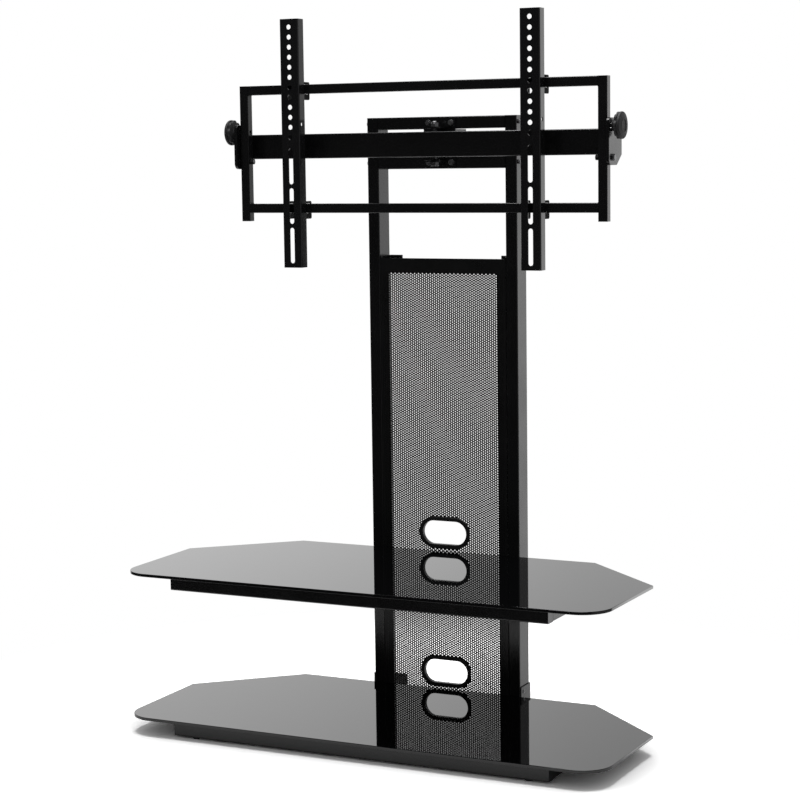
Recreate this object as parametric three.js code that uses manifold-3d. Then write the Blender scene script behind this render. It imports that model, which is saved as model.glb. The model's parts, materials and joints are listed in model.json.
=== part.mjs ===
import * as THREE from 'three';
import { mergeVertices } from 'three/addons/utils/BufferGeometryUtils.js';
import Module from 'manifold-3d';

// A television stand with two glass shelves, a tube column and a swivelling, tilting mount.
// Millimetres, +Z up, the front faces -Y, and the floor is at zero.

// Shelves
const glassThickness = 6;
const glassReach = 444;
const glassFrontWidth = 1020;
const glassFlare = 3;
const glassCornerCutWidth = 181;
const glassCornerCutDepth = 170;
const glassCornerRadius = 60;
const glassColumnGap = 1;
const shelfSpacing = 291.5;
const padThickness = 1;
const padWidth = 12;
const padEndMargin = 30;

// Base and shelf frames
const footHeight = 4;
const footRadius = 8;
const footEndMargin = 44;
const glassOverhang = 109;
const railWidth = 25;
const railWall = 1.5;
const baseRailHeight = 28;
const shelfRailHeight = 25;
const railSetBack = 19;
const bearerLength = 90;
const drainRadius = 4;

// Column
const postWidth = 25;
const postDepth = 50;
const postHeight = 1219;
const postWall = 1.5;
const columnWidth = 333;
const plugHeight = 15;
const plugClearance = 0.3;
const crossbarHeight = 25;
const crossbarDepth = 25;
const crossbarSpacing = 80;
const crossbarEndPlate = 4;

// Small bolts that hold the crossbars and the swivel plate
const boltRadius = 3;
const boltHeadRadius = 5;
const boltHeadHeight = 4;
const washerRadius = 6.3;
const washerThickness = 1;
const boltClearance = 0.3;
const crossbarBoltLength = 40;
const plateBoltLength = 14;
const plateBoltSpacing = 50;

// Cable panel, grommets, clips and straps
const panelSideGap = 0.5;
const panelThickness = 1.5;
const panelInset = 1;
const panelDrop = 287;
const panelFloorGap = 10;
const grommetWidth = 115;
const grommetHeight = 66;
const grommetRim = 8.5;
const grommetFlangeThickness = 3;
const grommetBodyDepth = 7;
const grommetBodyWall = 3.5;
const grommetClearance = 0.3;
const grommetLift = 36.5;
const upperGrommetExtraLift = 2;
const clipThickness = 2.5;
const clipHeight = 30;
const clipReach = 29.5;
const clipBackGap = 0.5;
const clipRise = 4.5;
const strapFrontGap = 2;
const strapReach = 26.5;
const strapRise = 18.6;
const strapDrop = 15;
const strapBackDrop = 10;

// Swivel plate, yoke and swivel bolt
const swivelPlateWidth = 70;
const swivelPlateMargin = 1.5;
const swivelPlateThickness = 3;
const swivelSideDepth = 50;
const swivelSideGap = 0.5;
const swivelReach = 27;
const fixedEarRadius = 17;
const yokeEarRadius = 11;
const earThickness = 3;
const earGap = 0.6;
const earRise = 6.7;
const yokeWidth = 50;
const swivelBoltRadius = 5;
const swivelNutRadius = 8.5;
const swivelNutHeight = 8;
const swivelBoltEnd = 3;
const pivotClearance = 0.4;

// Main beam and tilt plates
const beamHeight = 50;
const beamDepth = 25;
const beamWall = 2;
const beamDrop = 31;
const beamReach = 80;
const tiltPlateGap = 2;
const tiltPlateThickness = 6;
const tiltPlateFront = 21.5;
const tiltPlateTop = 75;
const tiltPlateBottom = 15;
const tiltPlateTopRadius = 10;
const tiltPlateBottomRadius = 12;
const tiltChamferDepth = 27;
const tiltChamferHeight = 20;
const tiltTopChamfer = 20;
const tiltDrop = 86;
const tiltForward = 10;
const tiltBack = 5;
const lockRadius = 60;
const lockSlotClearance = 0.7;
const pivotBoltRadius = 4;
const pivotHeadRadius = 7;
const pivotHeadHeight = 5;
const pivotNutHeight = 7;
const nutGap = 0.2;

// Television frame
const barSize = 19;
const barWall = 1.5;
const frameOuterWidth = 802;
const frameReach = 114;
const frameRise = 68;
const frameFoot = 208;
const bottomBarLift = 17;

// Lock knobs
const studRadius = 4;
const studClearance = 0.2;
const hubRadius = 11;
const hubLength = 8.7;
const hubGap = 0.3;
const knobRadius = 26;
const knobRimThickness = 12.4;
const knobRounding = 3;
const knobLobes = 8;
const knobLobeDepth = 1.6;
const knobCrownRadius = 14;
const knobCrownRise = 1.6;
const knobDimpleRadius = 11;
const knobDimpleDepth = 1;

// Television arms
const armLength = 500;
const armWidth = 42;
const armDepth = 24;
const armWall = 2.5;
const armBendRadius = 3;
const armRise = 198.6;
const leftArmPlace = 270;
const rightArmPlace = 253;
const slideClearance = 0.4;
const armHoleCount = 12;
const armHolePitch = 20;
const armHoleRadius = 5;
const armFirstHole = 16.3;
const armSlotCount = 3;
const armSlotLength = 72;
const armSlotPitch = 80;
const armSlotEnd = 9;
const eyeRise = 5;
const eyeFall = 12;
const eyeWall = 2.6;
const flangeHoleRadius = 4;
const flangeHoleDrop = 12;

// Number of straight steps in round stretches, and the overrun of a cutter past a face
const roundSteps = 20;
const holeSteps = 12;
const cornerSteps = 8;
const bendSteps = 3;
const hexSides = 6;
const pointsPerLobe = 6;
const overrun = 2;

// Heights
const baseRailTop = footHeight + baseRailHeight;
const lowerGlassTop = baseRailTop + padThickness + glassThickness;
const upperGlassTop = lowerGlassTop + shelfSpacing;
const shelfRailTop = upperGlassTop - glassThickness - padThickness;
const postTop = footHeight + postHeight;
const upperCrossbarHeight = postTop - crossbarHeight / 2;
const lowerCrossbarHeight = upperCrossbarHeight - crossbarSpacing;
const beamCentre = postTop - beamDrop - beamHeight / 2;
const tiltAxisHeight = postTop - tiltDrop;

// Depths, counted from the front face of the posts
const columnFront = (glassReach - postDepth - clipThickness) / 2;
const glassFront = columnFront - glassReach;
const railFront = glassFront + railSetBack;
const rearRailBack = columnFront - bearerLength;
const panelFront = columnFront + panelInset;
const panelBack = panelFront + panelThickness;
const swivelAxisDepth = columnFront - swivelReach;
const beamFront = columnFront - beamReach;
const beamBack = beamFront + beamDepth;
const barFront = columnFront - frameReach;
const barCentreDepth = barFront + barSize / 2;
const crossbarCentreDepth = columnFront + crossbarDepth / 2;

// Places across
const frameWidth = glassFrontWidth - 2 * glassOverhang;
const glassSide = glassFrontWidth / 2 + glassFlare;
const glassBackHalf = glassSide - glassCornerCutWidth;
const postCentre = (columnWidth - postWidth) / 2;
const postInner = columnWidth / 2 - postWidth;
const postOuter = columnWidth / 2;
const barOuter = frameOuterWidth / 2;
const barInner = barOuter - barSize;
const tiltPlateInner = barOuter + tiltPlateGap;
const tiltPlateOuter = tiltPlateInner + tiltPlateThickness;

// Finishes
const blackSteel = new THREE.MeshStandardMaterial({ color: 0x0b0b0c, roughness: 0.35, metalness: 0.2 });
const blackGlass = new THREE.MeshStandardMaterial({ color: 0x050505, roughness: 0.05, metalness: 0.0 });
const blackPlastic = new THREE.MeshStandardMaterial({ color: 0x141415, roughness: 0.5, metalness: 0.0 });
const blackRubber = new THREE.MeshStandardMaterial({ color: 0x101010, roughness: 0.9, metalness: 0.0 });
const blackBolt = new THREE.MeshStandardMaterial({ color: 0x2a2a2c, roughness: 0.4, metalness: 0.8 });

const wasm = await Module();
wasm.setup();

// Directions along which a bar, bolt or sheet is laid
const alongX = new THREE.Matrix4().makeBasis(
  new THREE.Vector3(0, 1, 0),
  new THREE.Vector3(0, 0, 1),
  new THREE.Vector3(1, 0, 0),
);
const alongY = new THREE.Matrix4().makeBasis(
  new THREE.Vector3(1, 0, 0),
  new THREE.Vector3(0, 0, 1),
  new THREE.Vector3(0, -1, 0),
);
const alongZ = new THREE.Matrix4();

function toSolid(geometry) {
  const bare = geometry.clone();
  bare.deleteAttribute('normal');
  bare.deleteAttribute('uv');
  const merged = mergeVertices(bare);
  return new wasm.Manifold(new wasm.Mesh({
    numProp: 3,
    vertProperties: Float32Array.from(merged.attributes.position.array),
    triVerts: Uint32Array.from(merged.index.array),
  }));
}

function toGeometry(solid) {
  const mesh = solid.getMesh();
  const geometry = new THREE.BufferGeometry();
  geometry.setAttribute('position', new THREE.BufferAttribute(Float32Array.from(mesh.vertProperties), 3));
  geometry.setIndex(new THREE.BufferAttribute(Uint32Array.from(mesh.triVerts), 1));
  const faceted = geometry.toNonIndexed();
  faceted.computeVertexNormals();
  return faceted;
}

function join(pieces) {
  const solids = pieces.map(toSolid);
  return toGeometry(solids.reduce((whole, piece) => whole.add(piece)));
}

function cut(body, cutters) {
  const solids = cutters.map(toSolid);
  return toGeometry(solids.reduce((rest, cutter) => rest.subtract(cutter), toSolid(body)));
}

function block(width, depth, height, x = 0, y = 0, z = 0) {
  return new THREE.BoxGeometry(width, depth, height).translate(x, y, z);
}

// Sheet of a drawn outline, its thickness centred on the drawing plane
function sheet(outline, thickness, direction) {
  const geometry = new THREE.ExtrudeGeometry(outline, {
    depth: thickness,
    bevelEnabled: false,
    curveSegments: cornerSteps,
  });
  return geometry.translate(0, 0, -thickness / 2).applyMatrix4(direction);
}

function rod(radius, length, direction, sides = holeSteps, x = 0, y = 0, z = 0) {
  const geometry = new THREE.CylinderGeometry(radius, radius, length, sides);
  return geometry.rotateX(Math.PI / 2).applyMatrix4(direction).translate(x, y, z);
}

// Rectangular tube along axis 0, 1 or 2, with the given plate at its low and high end, or none
function tube(size, wall, axis, lowPlate = 0, highPlate = 0) {
  const bore = size.map((length) => length - 2 * wall);
  const low = lowPlate > 0 ? lowPlate : -overrun;
  const high = highPlate > 0 ? highPlate : -overrun;
  bore[axis] = size[axis] - low - high;
  const shift = [0, 0, 0];
  shift[axis] = (low - high) / 2;
  return cut(block(...size), [block(...bore, ...shift)]);
}

function stadium(width, height) {
  const radius = height / 2;
  const half = width / 2 - radius;
  const outline = new THREE.Shape();
  outline.absarc(half, 0, radius, -Math.PI / 2, Math.PI / 2, false);
  outline.absarc(-half, 0, radius, Math.PI / 2, Math.PI * 3 / 2, false);
  outline.closePath();
  return outline;
}

function polygon(points) {
  return new THREE.Shape(points.map(([x, y]) => new THREE.Vector2(x, y)));
}

// Hexagon bolt along Z: the head sits on the face at zero, and the shank runs down from it
function hexBolt(radius, length, headRadius, headHeight, ringRadius, ringThickness) {
  const rootHeight = headHeight / 2;
  const pieces = [
    rod(headRadius, headHeight, alongZ, hexSides, 0, 0, headHeight / 2),
    rod(radius, length + rootHeight, alongZ, holeSteps, 0, 0, (rootHeight - length) / 2),
  ];
  if (ringThickness > 0) {
    pieces.push(rod(ringRadius, ringThickness, alongZ, roundSteps, 0, 0, ringThickness / 2));
  }
  return join(pieces);
}

function hexNut(holeRadius, radius, height) {
  return cut(rod(radius, height, alongZ, hexSides), [rod(holeRadius, height + overrun, alongZ, holeSteps)]);
}

// Groups that turn together keep their own origin on the axis that they turn about
const stand = new THREE.Group();
const swivelGroup = new THREE.Group();
swivelGroup.position.set(0, swivelAxisDepth, beamCentre);
stand.add(swivelGroup);
const tiltGroup = new THREE.Group();
tiltGroup.position.set(0, barCentreDepth - swivelAxisDepth, tiltAxisHeight - beamCentre);
swivelGroup.add(tiltGroup);

function groupOrigin(group) {
  const origin = new THREE.Vector3();
  for (let step = group; step; step = step.parent) {
    origin.add(step.position);
  }
  return origin;
}

// Adds a named piece at a place that is given in the stand's own frame
function add(group, name, geometry, material, x, y, z) {
  const mesh = new THREE.Mesh(geometry, material);
  mesh.name = name;
  mesh.position.set(x, y, z).sub(groupOrigin(group));
  group.add(mesh);
}

const signs = [-1, 1];
const sides = [['left', -1], ['right', 1]];

// Glass shelf: straight front with round corners, slanted back corners
function glassPane() {
  const front = glassFront;
  const back = columnFront - glassColumnGap;
  const side = back - glassCornerCutDepth;
  const radius = glassCornerRadius;
  const outline = new THREE.Shape();
  outline.moveTo(-glassBackHalf, back);
  outline.lineTo(-glassSide, side);
  outline.lineTo(-glassFrontWidth / 2, front + radius);
  outline.absarc(-glassFrontWidth / 2 + radius, front + radius, radius, Math.PI, Math.PI * 3 / 2, false);
  outline.absarc(glassFrontWidth / 2 - radius, front + radius, radius, -Math.PI / 2, 0, false);
  outline.lineTo(glassSide, side);
  outline.lineTo(glassBackHalf, back);
  outline.closePath();
  return sheet(outline, glassThickness, alongZ);
}

add(stand, 'lower_glass', glassPane(), blackGlass, 0, 0, lowerGlassTop - glassThickness / 2);
add(stand, 'upper_glass', glassPane(), blackGlass, 0, 0, upperGlassTop - glassThickness / 2);

// Welded rail frame under a shelf, with two bearers that run back to the posts
function railFrame(prefix, height, top) {
  const centre = top - height / 2;
  const frontCentre = railFront + railWidth / 2;
  const rearCentre = rearRailBack - railWidth / 2;
  const longTube = tube([frameWidth, railWidth, height], railWall, 0, railWall, railWall);
  const drain = rod(drainRadius, railWall * 2 + overrun, alongZ, holeSteps, 0, 0, -height / 2);
  const longRail = cut(longTube, [drain]);
  const sideLength = rearCentre - frontCentre - railWidth;
  const sideRail = tube([railWidth, sideLength, height], railWall, 1);
  const bearer = tube([postWidth, bearerLength, height], railWall, 1);
  const pad = block(frameWidth - 2 * padEndMargin, padWidth, padThickness);
  add(stand, `${prefix}_front_rail`, longRail, blackSteel, 0, frontCentre, centre);
  add(stand, `${prefix}_rear_rail`, longRail.clone(), blackSteel, 0, rearCentre, centre);
  add(stand, `${prefix}_front_pad`, pad, blackRubber, 0, frontCentre, top + padThickness / 2);
  add(stand, `${prefix}_rear_pad`, pad.clone(), blackRubber, 0, rearCentre, top + padThickness / 2);
  for (const [name, sign] of sides) {
    add(stand, `${prefix}_${name}_rail`, sideRail.clone(), blackSteel,
      sign * (frameWidth - railWidth) / 2, (frontCentre + rearCentre) / 2, centre);
    add(stand, `${prefix}_${name}_bearer`, bearer.clone(), blackSteel, sign * postCentre,
      columnFront - bearerLength / 2, centre);
  }
}

railFrame('base', baseRailHeight, baseRailTop);
railFrame('shelf', shelfRailHeight, shelfRailTop);

// Posts, closed at the top, with holes for the crossbar bolts
function post() {
  const body = tube([postWidth, postDepth, postHeight], postWall, 2, 0, postWall);
  const boltDepth = (crossbarDepth - postDepth) / 2;
  const holeLength = postWidth + overrun;
  const holes = [upperCrossbarHeight, lowerCrossbarHeight].map((height) => rod(
    boltRadius + boltClearance, holeLength, alongX, holeSteps,
    0, boltDepth, height - footHeight - postHeight / 2,
  ));
  return cut(body, holes);
}

// Feet: round glides under the front rail, and plugs in the open ends of the posts
function rearFoot() {
  const plugWidth = postWidth - 2 * (postWall + plugClearance);
  const plugDepth = postDepth - 2 * (postWall + plugClearance);
  return join([
    block(postWidth, postDepth, footHeight, 0, 0, footHeight / 2),
    block(plugWidth, plugDepth, plugHeight + footHeight, 0, 0, (plugHeight + footHeight) / 2),
  ]);
}

const crossbarBolt = hexBolt(boltRadius, crossbarBoltLength, boltHeadRadius, boltHeadHeight, 0, 0);
for (const [name, sign] of sides) {
  const postMiddle = columnFront + postDepth / 2;
  add(stand, `${name}_post`, post(), blackSteel, sign * postCentre, postMiddle, footHeight + postHeight / 2);
  add(stand, `${name}_rear_foot`, rearFoot(), blackPlastic, sign * postCentre, postMiddle, 0);
  add(stand, `${name}_front_foot`, rod(footRadius, footHeight, alongZ, roundSteps), blackPlastic,
    sign * (frameWidth / 2 - footEndMargin), railFront + railWidth / 2, footHeight / 2);
  for (const [level, height] of [['upper', upperCrossbarHeight], ['lower', lowerCrossbarHeight]]) {
    const bolt = crossbarBolt.clone().rotateY(sign * Math.PI / 2);
    add(stand, `${name}_${level}_post_bolt`, bolt, blackBolt, sign * postOuter, crossbarCentreDepth, height);
  }
}

// Crossbars: end plates that the post bolts screw into, and front holes for the swivel plate's bolts
function crossbar() {
  const size = [2 * postInner, crossbarDepth, crossbarHeight];
  const body = tube(size, postWall, 0, crossbarEndPlate, crossbarEndPlate);
  const endHole = rod(boltRadius + boltClearance, 2 * postInner + overrun, alongX);
  const frontHoles = signs.map((sign) => rod(
    boltRadius + boltClearance, crossbarDepth, alongY, holeSteps,
    sign * plateBoltSpacing / 2, -crossbarDepth / 2, 0,
  ));
  return cut(body, [endHole, ...frontHoles]);
}

add(stand, 'upper_crossbar', crossbar(), blackSteel, 0, crossbarCentreDepth, upperCrossbarHeight);
add(stand, 'lower_crossbar', crossbar(), blackSteel, 0, crossbarCentreDepth, lowerCrossbarHeight);

// Cable panel between the posts, with an oblong hole over each shelf
const panelWidth = 2 * (postInner - panelSideGap);
const panelTop = postTop - panelDrop;
const panelHeight = panelTop - panelFloorGap;
const grommetHeights = [
  ['lower', lowerGlassTop + grommetLift],
  ['upper', upperGlassTop + grommetLift + upperGrommetExtraLift],
];
const openingWidth = grommetWidth - 2 * grommetRim;
const openingHeight = grommetHeight - 2 * grommetRim;
const bodyWidth = openingWidth + 2 * grommetBodyWall;
const bodyHeight = openingHeight + 2 * grommetBodyWall;

function cablePanel() {
  const holeShape = stadium(bodyWidth + 2 * grommetClearance, bodyHeight + 2 * grommetClearance);
  const centre = panelFloorGap + panelHeight / 2;
  const holes = grommetHeights.map(([, height]) => (
    sheet(holeShape, panelThickness + overrun, alongY).translate(0, 0, height - centre)
  ));
  return cut(block(panelWidth, panelThickness, panelHeight), holes);
}

add(stand, 'cable_panel', cablePanel(), blackSteel,
  0, panelFront + panelThickness / 2, panelFloorGap + panelHeight / 2);

// Grommet: a rim in front of the panel and a sleeve that runs through it
function grommet() {
  const depth = grommetFlangeThickness + grommetBodyDepth;
  const rim = sheet(stadium(grommetWidth, grommetHeight), grommetFlangeThickness, alongY);
  const sleeve = sheet(stadium(bodyWidth, bodyHeight), depth, alongY);
  const opening = sheet(stadium(openingWidth, openingHeight), 2 * depth, alongY);
  rim.translate(0, -grommetFlangeThickness / 2, 0);
  sleeve.translate(0, (grommetBodyDepth - grommetFlangeThickness) / 2, 0);
  return cut(join([rim, sleeve]), [opening]);
}

for (const [name, height] of grommetHeights) {
  add(stand, `${name}_grommet`, grommet(), blackPlastic, 0, panelFront, height);
}

// Panel clips: a leg on the post's inner face, and a tab that reaches inward behind the panel
const clipFront = panelBack - columnFront;
const clipBack = postDepth - clipBackGap;
const clipInner = postInner - clipReach;
const clipOutline = [
  [clipInner, clipBack - clipThickness],
  [postInner - clipThickness, clipBack - clipThickness],
  [postInner - clipThickness, clipFront],
  [postInner, clipFront],
  [postInner, clipBack],
  [clipInner, clipBack],
];

// Straps at the posts' feet: a plate on the outer face, and a lower one that reaches inward behind
function strap(sign) {
  const outerHeight = strapRise + strapDrop;
  const backHeight = outerHeight - strapBackDrop;
  const depth = postDepth + clipThickness - strapFrontGap;
  const reach = strapReach + postWidth + clipThickness;
  const outerEdge = postOuter + clipThickness;
  return join([
    block(clipThickness, depth, outerHeight,
      sign * (outerEdge - clipThickness / 2), strapFrontGap + depth / 2, outerHeight / 2),
    block(reach, clipThickness, backHeight,
      sign * (outerEdge - reach / 2), postDepth + clipThickness / 2, backHeight / 2),
  ]);
}

for (const [name, sign] of sides) {
  const outline = polygon(clipOutline.map(([x, y]) => [sign * x, y]));
  add(stand, `${name}_panel_clip`, sheet(outline, clipHeight, alongZ), blackSteel,
    0, columnFront, panelTop + clipRise - clipHeight / 2);
  add(stand, `${name}_post_strap`, strap(sign), blackSteel, 0, columnFront, lowerGlassTop - strapDrop);
}

// Ear: a flat plate from a root line to a round end on the swivel bolt, drawn in plan
function ear(radius, rootDistance, holeRadius) {
  const outline = new THREE.Shape();
  const turn = Math.sign(rootDistance);
  outline.moveTo(radius, rootDistance);
  outline.lineTo(radius, 0);
  outline.absarc(0, 0, radius, 0, Math.PI, turn > 0);
  outline.lineTo(-radius, rootDistance);
  outline.closePath();
  const hole = rod(holeRadius, earThickness + overrun, alongZ, roundSteps);
  return cut(sheet(outline, earThickness, alongZ), [hole]);
}

const yokeHalfHeight = beamHeight / 2 + earRise;
const fixedEarHeight = yokeHalfHeight + earGap + earThickness / 2;
const yokeEarHeight = yokeHalfHeight - earThickness / 2;
const swivelPlateHeight = crossbarSpacing + crossbarHeight - 2 * swivelPlateMargin;
const swivelPlateCentre = (upperCrossbarHeight + lowerCrossbarHeight) / 2;

// Swivel plate: bolted to both crossbars, with two side flanges between them and two ears in front
function swivelPlate() {
  const sideHeight = crossbarSpacing - crossbarHeight - 2 * swivelSideGap;
  const earRoot = swivelReach - swivelPlateThickness / 2;
  const web = block(swivelPlateWidth, swivelPlateThickness, swivelPlateHeight);
  web.translate(0, -swivelPlateThickness / 2, 0);
  const flangePlace = (swivelPlateWidth - swivelPlateThickness) / 2;
  const flangeDepth = swivelSideDepth + swivelPlateThickness / 2;
  const flanges = signs.map((sign) => block(
    swivelPlateThickness, flangeDepth, sideHeight,
    sign * flangePlace, (swivelSideDepth - swivelPlateThickness / 2) / 2, 0,
  ));
  const ears = signs.map((sign) => ear(fixedEarRadius, earRoot, swivelBoltRadius + boltClearance).translate(
    0, -swivelReach, beamCentre - swivelPlateCentre + sign * fixedEarHeight,
  ));
  const holes = signs.flatMap((across) => signs.map((up) => rod(
    boltRadius + boltClearance, swivelPlateThickness * 2 + overrun, alongY, holeSteps,
    across * plateBoltSpacing / 2, -swivelPlateThickness / 2, up * crossbarSpacing / 2,
  )));
  return cut(join([web, ...flanges, ...ears]), holes);
}

add(stand, 'swivel_plate', swivelPlate(), blackSteel, 0, columnFront, swivelPlateCentre);

const plateBolt = hexBolt(
  boltRadius, plateBoltLength, boltHeadRadius, boltHeadHeight + washerThickness,
  washerRadius, washerThickness,
).rotateX(Math.PI / 2);
for (const [name, sign] of sides) {
  for (const [level, height] of [['upper', upperCrossbarHeight], ['lower', lowerCrossbarHeight]]) {
    add(stand, `${name}_${level}_plate_bolt`, plateBolt.clone(), blackBolt,
      sign * plateBoltSpacing / 2, columnFront - swivelPlateThickness, height);
  }
}

// Swivel bolt with its head under the lower ear, and its nut on the upper ear
const fixedEarFace = fixedEarHeight + earThickness / 2;
const swivelBoltLength = 2 * fixedEarFace + swivelNutHeight + swivelBoltEnd;
const swivelBolt = hexBolt(
  swivelBoltRadius, swivelBoltLength, swivelNutRadius, swivelNutHeight,
  swivelNutRadius + washerThickness, washerThickness,
).rotateX(Math.PI);
add(stand, 'swivel_bolt', swivelBolt, blackBolt, 0, swivelAxisDepth, beamCentre - fixedEarFace);
add(stand, 'swivel_nut', hexNut(swivelBoltRadius + nutGap, swivelNutRadius, swivelNutHeight), blackBolt,
  0, swivelAxisDepth, beamCentre + fixedEarFace + swivelNutHeight / 2);

// Yoke on the back of the beam, with a narrow neck up and down to the ears on the swivel bolt
function yoke() {
  const reach = swivelAxisDepth - beamBack;
  const webPlace = -reach + swivelPlateThickness / 2;
  const web = block(yokeWidth, swivelPlateThickness, beamHeight, 0, webPlace, 0);
  const neck = block(2 * yokeEarRadius, swivelPlateThickness, 2 * yokeHalfHeight, 0, webPlace, 0);
  const ears = signs.map((sign) => ear(
    yokeEarRadius, webPlace, swivelBoltRadius + pivotClearance,
  ).translate(0, 0, sign * yokeEarHeight));
  return join([web, neck, ...ears]);
}

add(swivelGroup, 'swivel_yoke', yoke(), blackSteel, 0, swivelAxisDepth, beamCentre);
add(swivelGroup, 'main_beam', tube([2 * tiltPlateInner, beamDepth, beamHeight], beamWall, 0), blackSteel,
  0, beamFront + beamDepth / 2, beamCentre);

// Tilt plate, drawn from the side about the pivot, with a curved slot for the lock stud
function tiltPlate() {
  const back = beamBack - barCentreDepth;
  const front = -tiltPlateFront;
  const top = tiltPlateTop;
  const bottom = -tiltPlateBottom;
  const topRadius = tiltPlateTopRadius;
  const bottomRadius = tiltPlateBottomRadius;
  const outline = new THREE.Shape();
  outline.moveTo(back - tiltChamferDepth, bottom);
  outline.lineTo(back, bottom + tiltChamferHeight);
  outline.lineTo(back, top - tiltTopChamfer);
  outline.lineTo(back - tiltTopChamfer, top);
  outline.absarc(front + topRadius, top - topRadius, topRadius, Math.PI / 2, Math.PI, false);
  outline.absarc(front + bottomRadius, bottom + bottomRadius, bottomRadius, Math.PI, Math.PI * 3 / 2, false);
  outline.closePath();
  const first = Math.PI / 2 - THREE.MathUtils.degToRad(tiltBack);
  const last = Math.PI / 2 + THREE.MathUtils.degToRad(tiltForward);
  const half = studRadius + lockSlotClearance;
  const slot = new THREE.Shape();
  const roundEnd = (angle, start) => {
    const centre = new THREE.Vector2(lockRadius * Math.cos(angle), lockRadius * Math.sin(angle));
    slot.absarc(centre.x, centre.y, half, start, start + Math.PI, false);
  };
  slot.absarc(0, 0, lockRadius + half, first, last, false);
  roundEnd(last, last);
  slot.absarc(0, 0, lockRadius - half, last, first, true);
  roundEnd(first, first + Math.PI);
  return cut(sheet(outline, tiltPlateThickness, alongX), [
    sheet(slot, tiltPlateThickness + overrun, alongX),
    rod(pivotBoltRadius + boltClearance, tiltPlateThickness + overrun, alongX),
  ]);
}

const pivotBoltLength = tiltPlateThickness + tiltPlateGap + barSize + pivotNutHeight + washerThickness;
const pivotBolt = hexBolt(pivotBoltRadius, pivotBoltLength, pivotHeadRadius, pivotHeadHeight, 0, 0);
const pivotNut = hexNut(pivotBoltRadius + nutGap, pivotHeadRadius, pivotNutHeight).rotateY(Math.PI / 2);
for (const [name, sign] of sides) {
  add(swivelGroup, `${name}_tilt_plate`, tiltPlate(), blackSteel,
    sign * (tiltPlateInner + tiltPlateThickness / 2), barCentreDepth, tiltAxisHeight);
  add(swivelGroup, `${name}_pivot_bolt`, pivotBolt.clone().rotateY(sign * Math.PI / 2), blackBolt,
    sign * tiltPlateOuter, barCentreDepth, tiltAxisHeight);
  add(swivelGroup, `${name}_pivot_nut`, pivotNut.clone(), blackBolt,
    sign * (barInner - nutGap - pivotNutHeight / 2), barCentreDepth, tiltAxisHeight);
}

// Television frame: side bars with closed ends, and top and bottom bars between them
const frameTop = postTop + frameRise;
const frameBottom = postTop - frameFoot;
const topBarHeight = frameTop - barSize / 2;
const bottomBarHeight = frameBottom + bottomBarLift + barSize / 2;
const sideBarHeight = frameTop - frameBottom;
const sideBarCentre = (frameTop + frameBottom) / 2;

function sideBar() {
  const body = tube([barSize, barSize, sideBarHeight], barWall, 2, barWall, barWall);
  const length = barSize + overrun;
  const pivotHeight = tiltAxisHeight - sideBarCentre;
  return cut(body, [
    rod(pivotBoltRadius + pivotClearance, length, alongX, roundSteps, 0, 0, pivotHeight),
    rod(studRadius + studClearance, length, alongX, roundSteps, 0, 0, pivotHeight + lockRadius),
  ]);
}

const crossBarPiece = tube([2 * barInner, barSize, barSize], barWall, 0);
add(tiltGroup, 'frame_top_bar', crossBarPiece, blackSteel, 0, barCentreDepth, topBarHeight);
add(tiltGroup, 'frame_bottom_bar', crossBarPiece.clone(), blackSteel, 0, barCentreDepth, bottomBarHeight);

// Lock knob along X: stud in the side bar, hub on the tilt plate, lobed grip outside
function lockKnob() {
  const outline = new THREE.Shape();
  const steps = knobLobes * pointsPerLobe;
  const points = [];
  for (let step = 0; step < steps; step += 1) {
    const angle = step / steps * Math.PI * 2;
    const radius = knobRadius - knobLobeDepth * (1 - Math.cos(knobLobes * angle)) / 2;
    points.push(new THREE.Vector2(radius * Math.cos(angle), radius * Math.sin(angle)));
  }
  outline.setFromPoints(points);
  const grip = new THREE.ExtrudeGeometry(outline, {
    depth: knobRimThickness - 2 * knobRounding,
    bevelThickness: knobRounding,
    bevelSize: knobRounding,
    bevelOffset: -knobRounding,
    bevelSegments: bendSteps,
  });
  grip.translate(0, 0, hubLength + knobRounding);
  const studLength = hubLength + hubGap + tiltPlateOuter - barInner - barWall;
  const stud = rod(studRadius, studLength, alongZ, roundSteps, 0, 0, hubLength - studLength / 2);
  const rimFace = hubLength + knobRimThickness;
  const crownFoot = knobRadius - knobLobeDepth - knobRounding;
  const crownDepth = knobCrownRise + knobRounding;
  const crown = new THREE.CylinderGeometry(knobCrownRadius, crownFoot, crownDepth, roundSteps);
  crown.rotateX(Math.PI / 2).translate(0, 0, rimFace + knobCrownRise - crownDepth / 2);
  const hub = rod(hubRadius, rimFace, alongZ, roundSteps, 0, 0, rimFace / 2);
  const face = rimFace + knobCrownRise;
  const dimple = rod(knobDimpleRadius, 2 * knobDimpleDepth, alongZ, roundSteps, 0, 0, face);
  return cut(join([grip, crown, hub, stud]), [dimple]);
}

const knobPiece = lockKnob();
for (const [name, sign] of sides) {
  add(tiltGroup, `frame_${name}_bar`, sideBar(), blackSteel,
    sign * (barOuter - barSize / 2), barCentreDepth, sideBarCentre);
  add(tiltGroup, `${name}_knob`, knobPiece.clone().rotateY(sign * Math.PI / 2), blackPlastic,
    sign * (tiltPlateOuter + hubGap), barCentreDepth, tiltAxisHeight + lockRadius);
}

// Television arm: a folded channel, open at the back, with holes, slots and eyes for the two bars
const armBottom = postTop + armRise - armLength;

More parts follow.
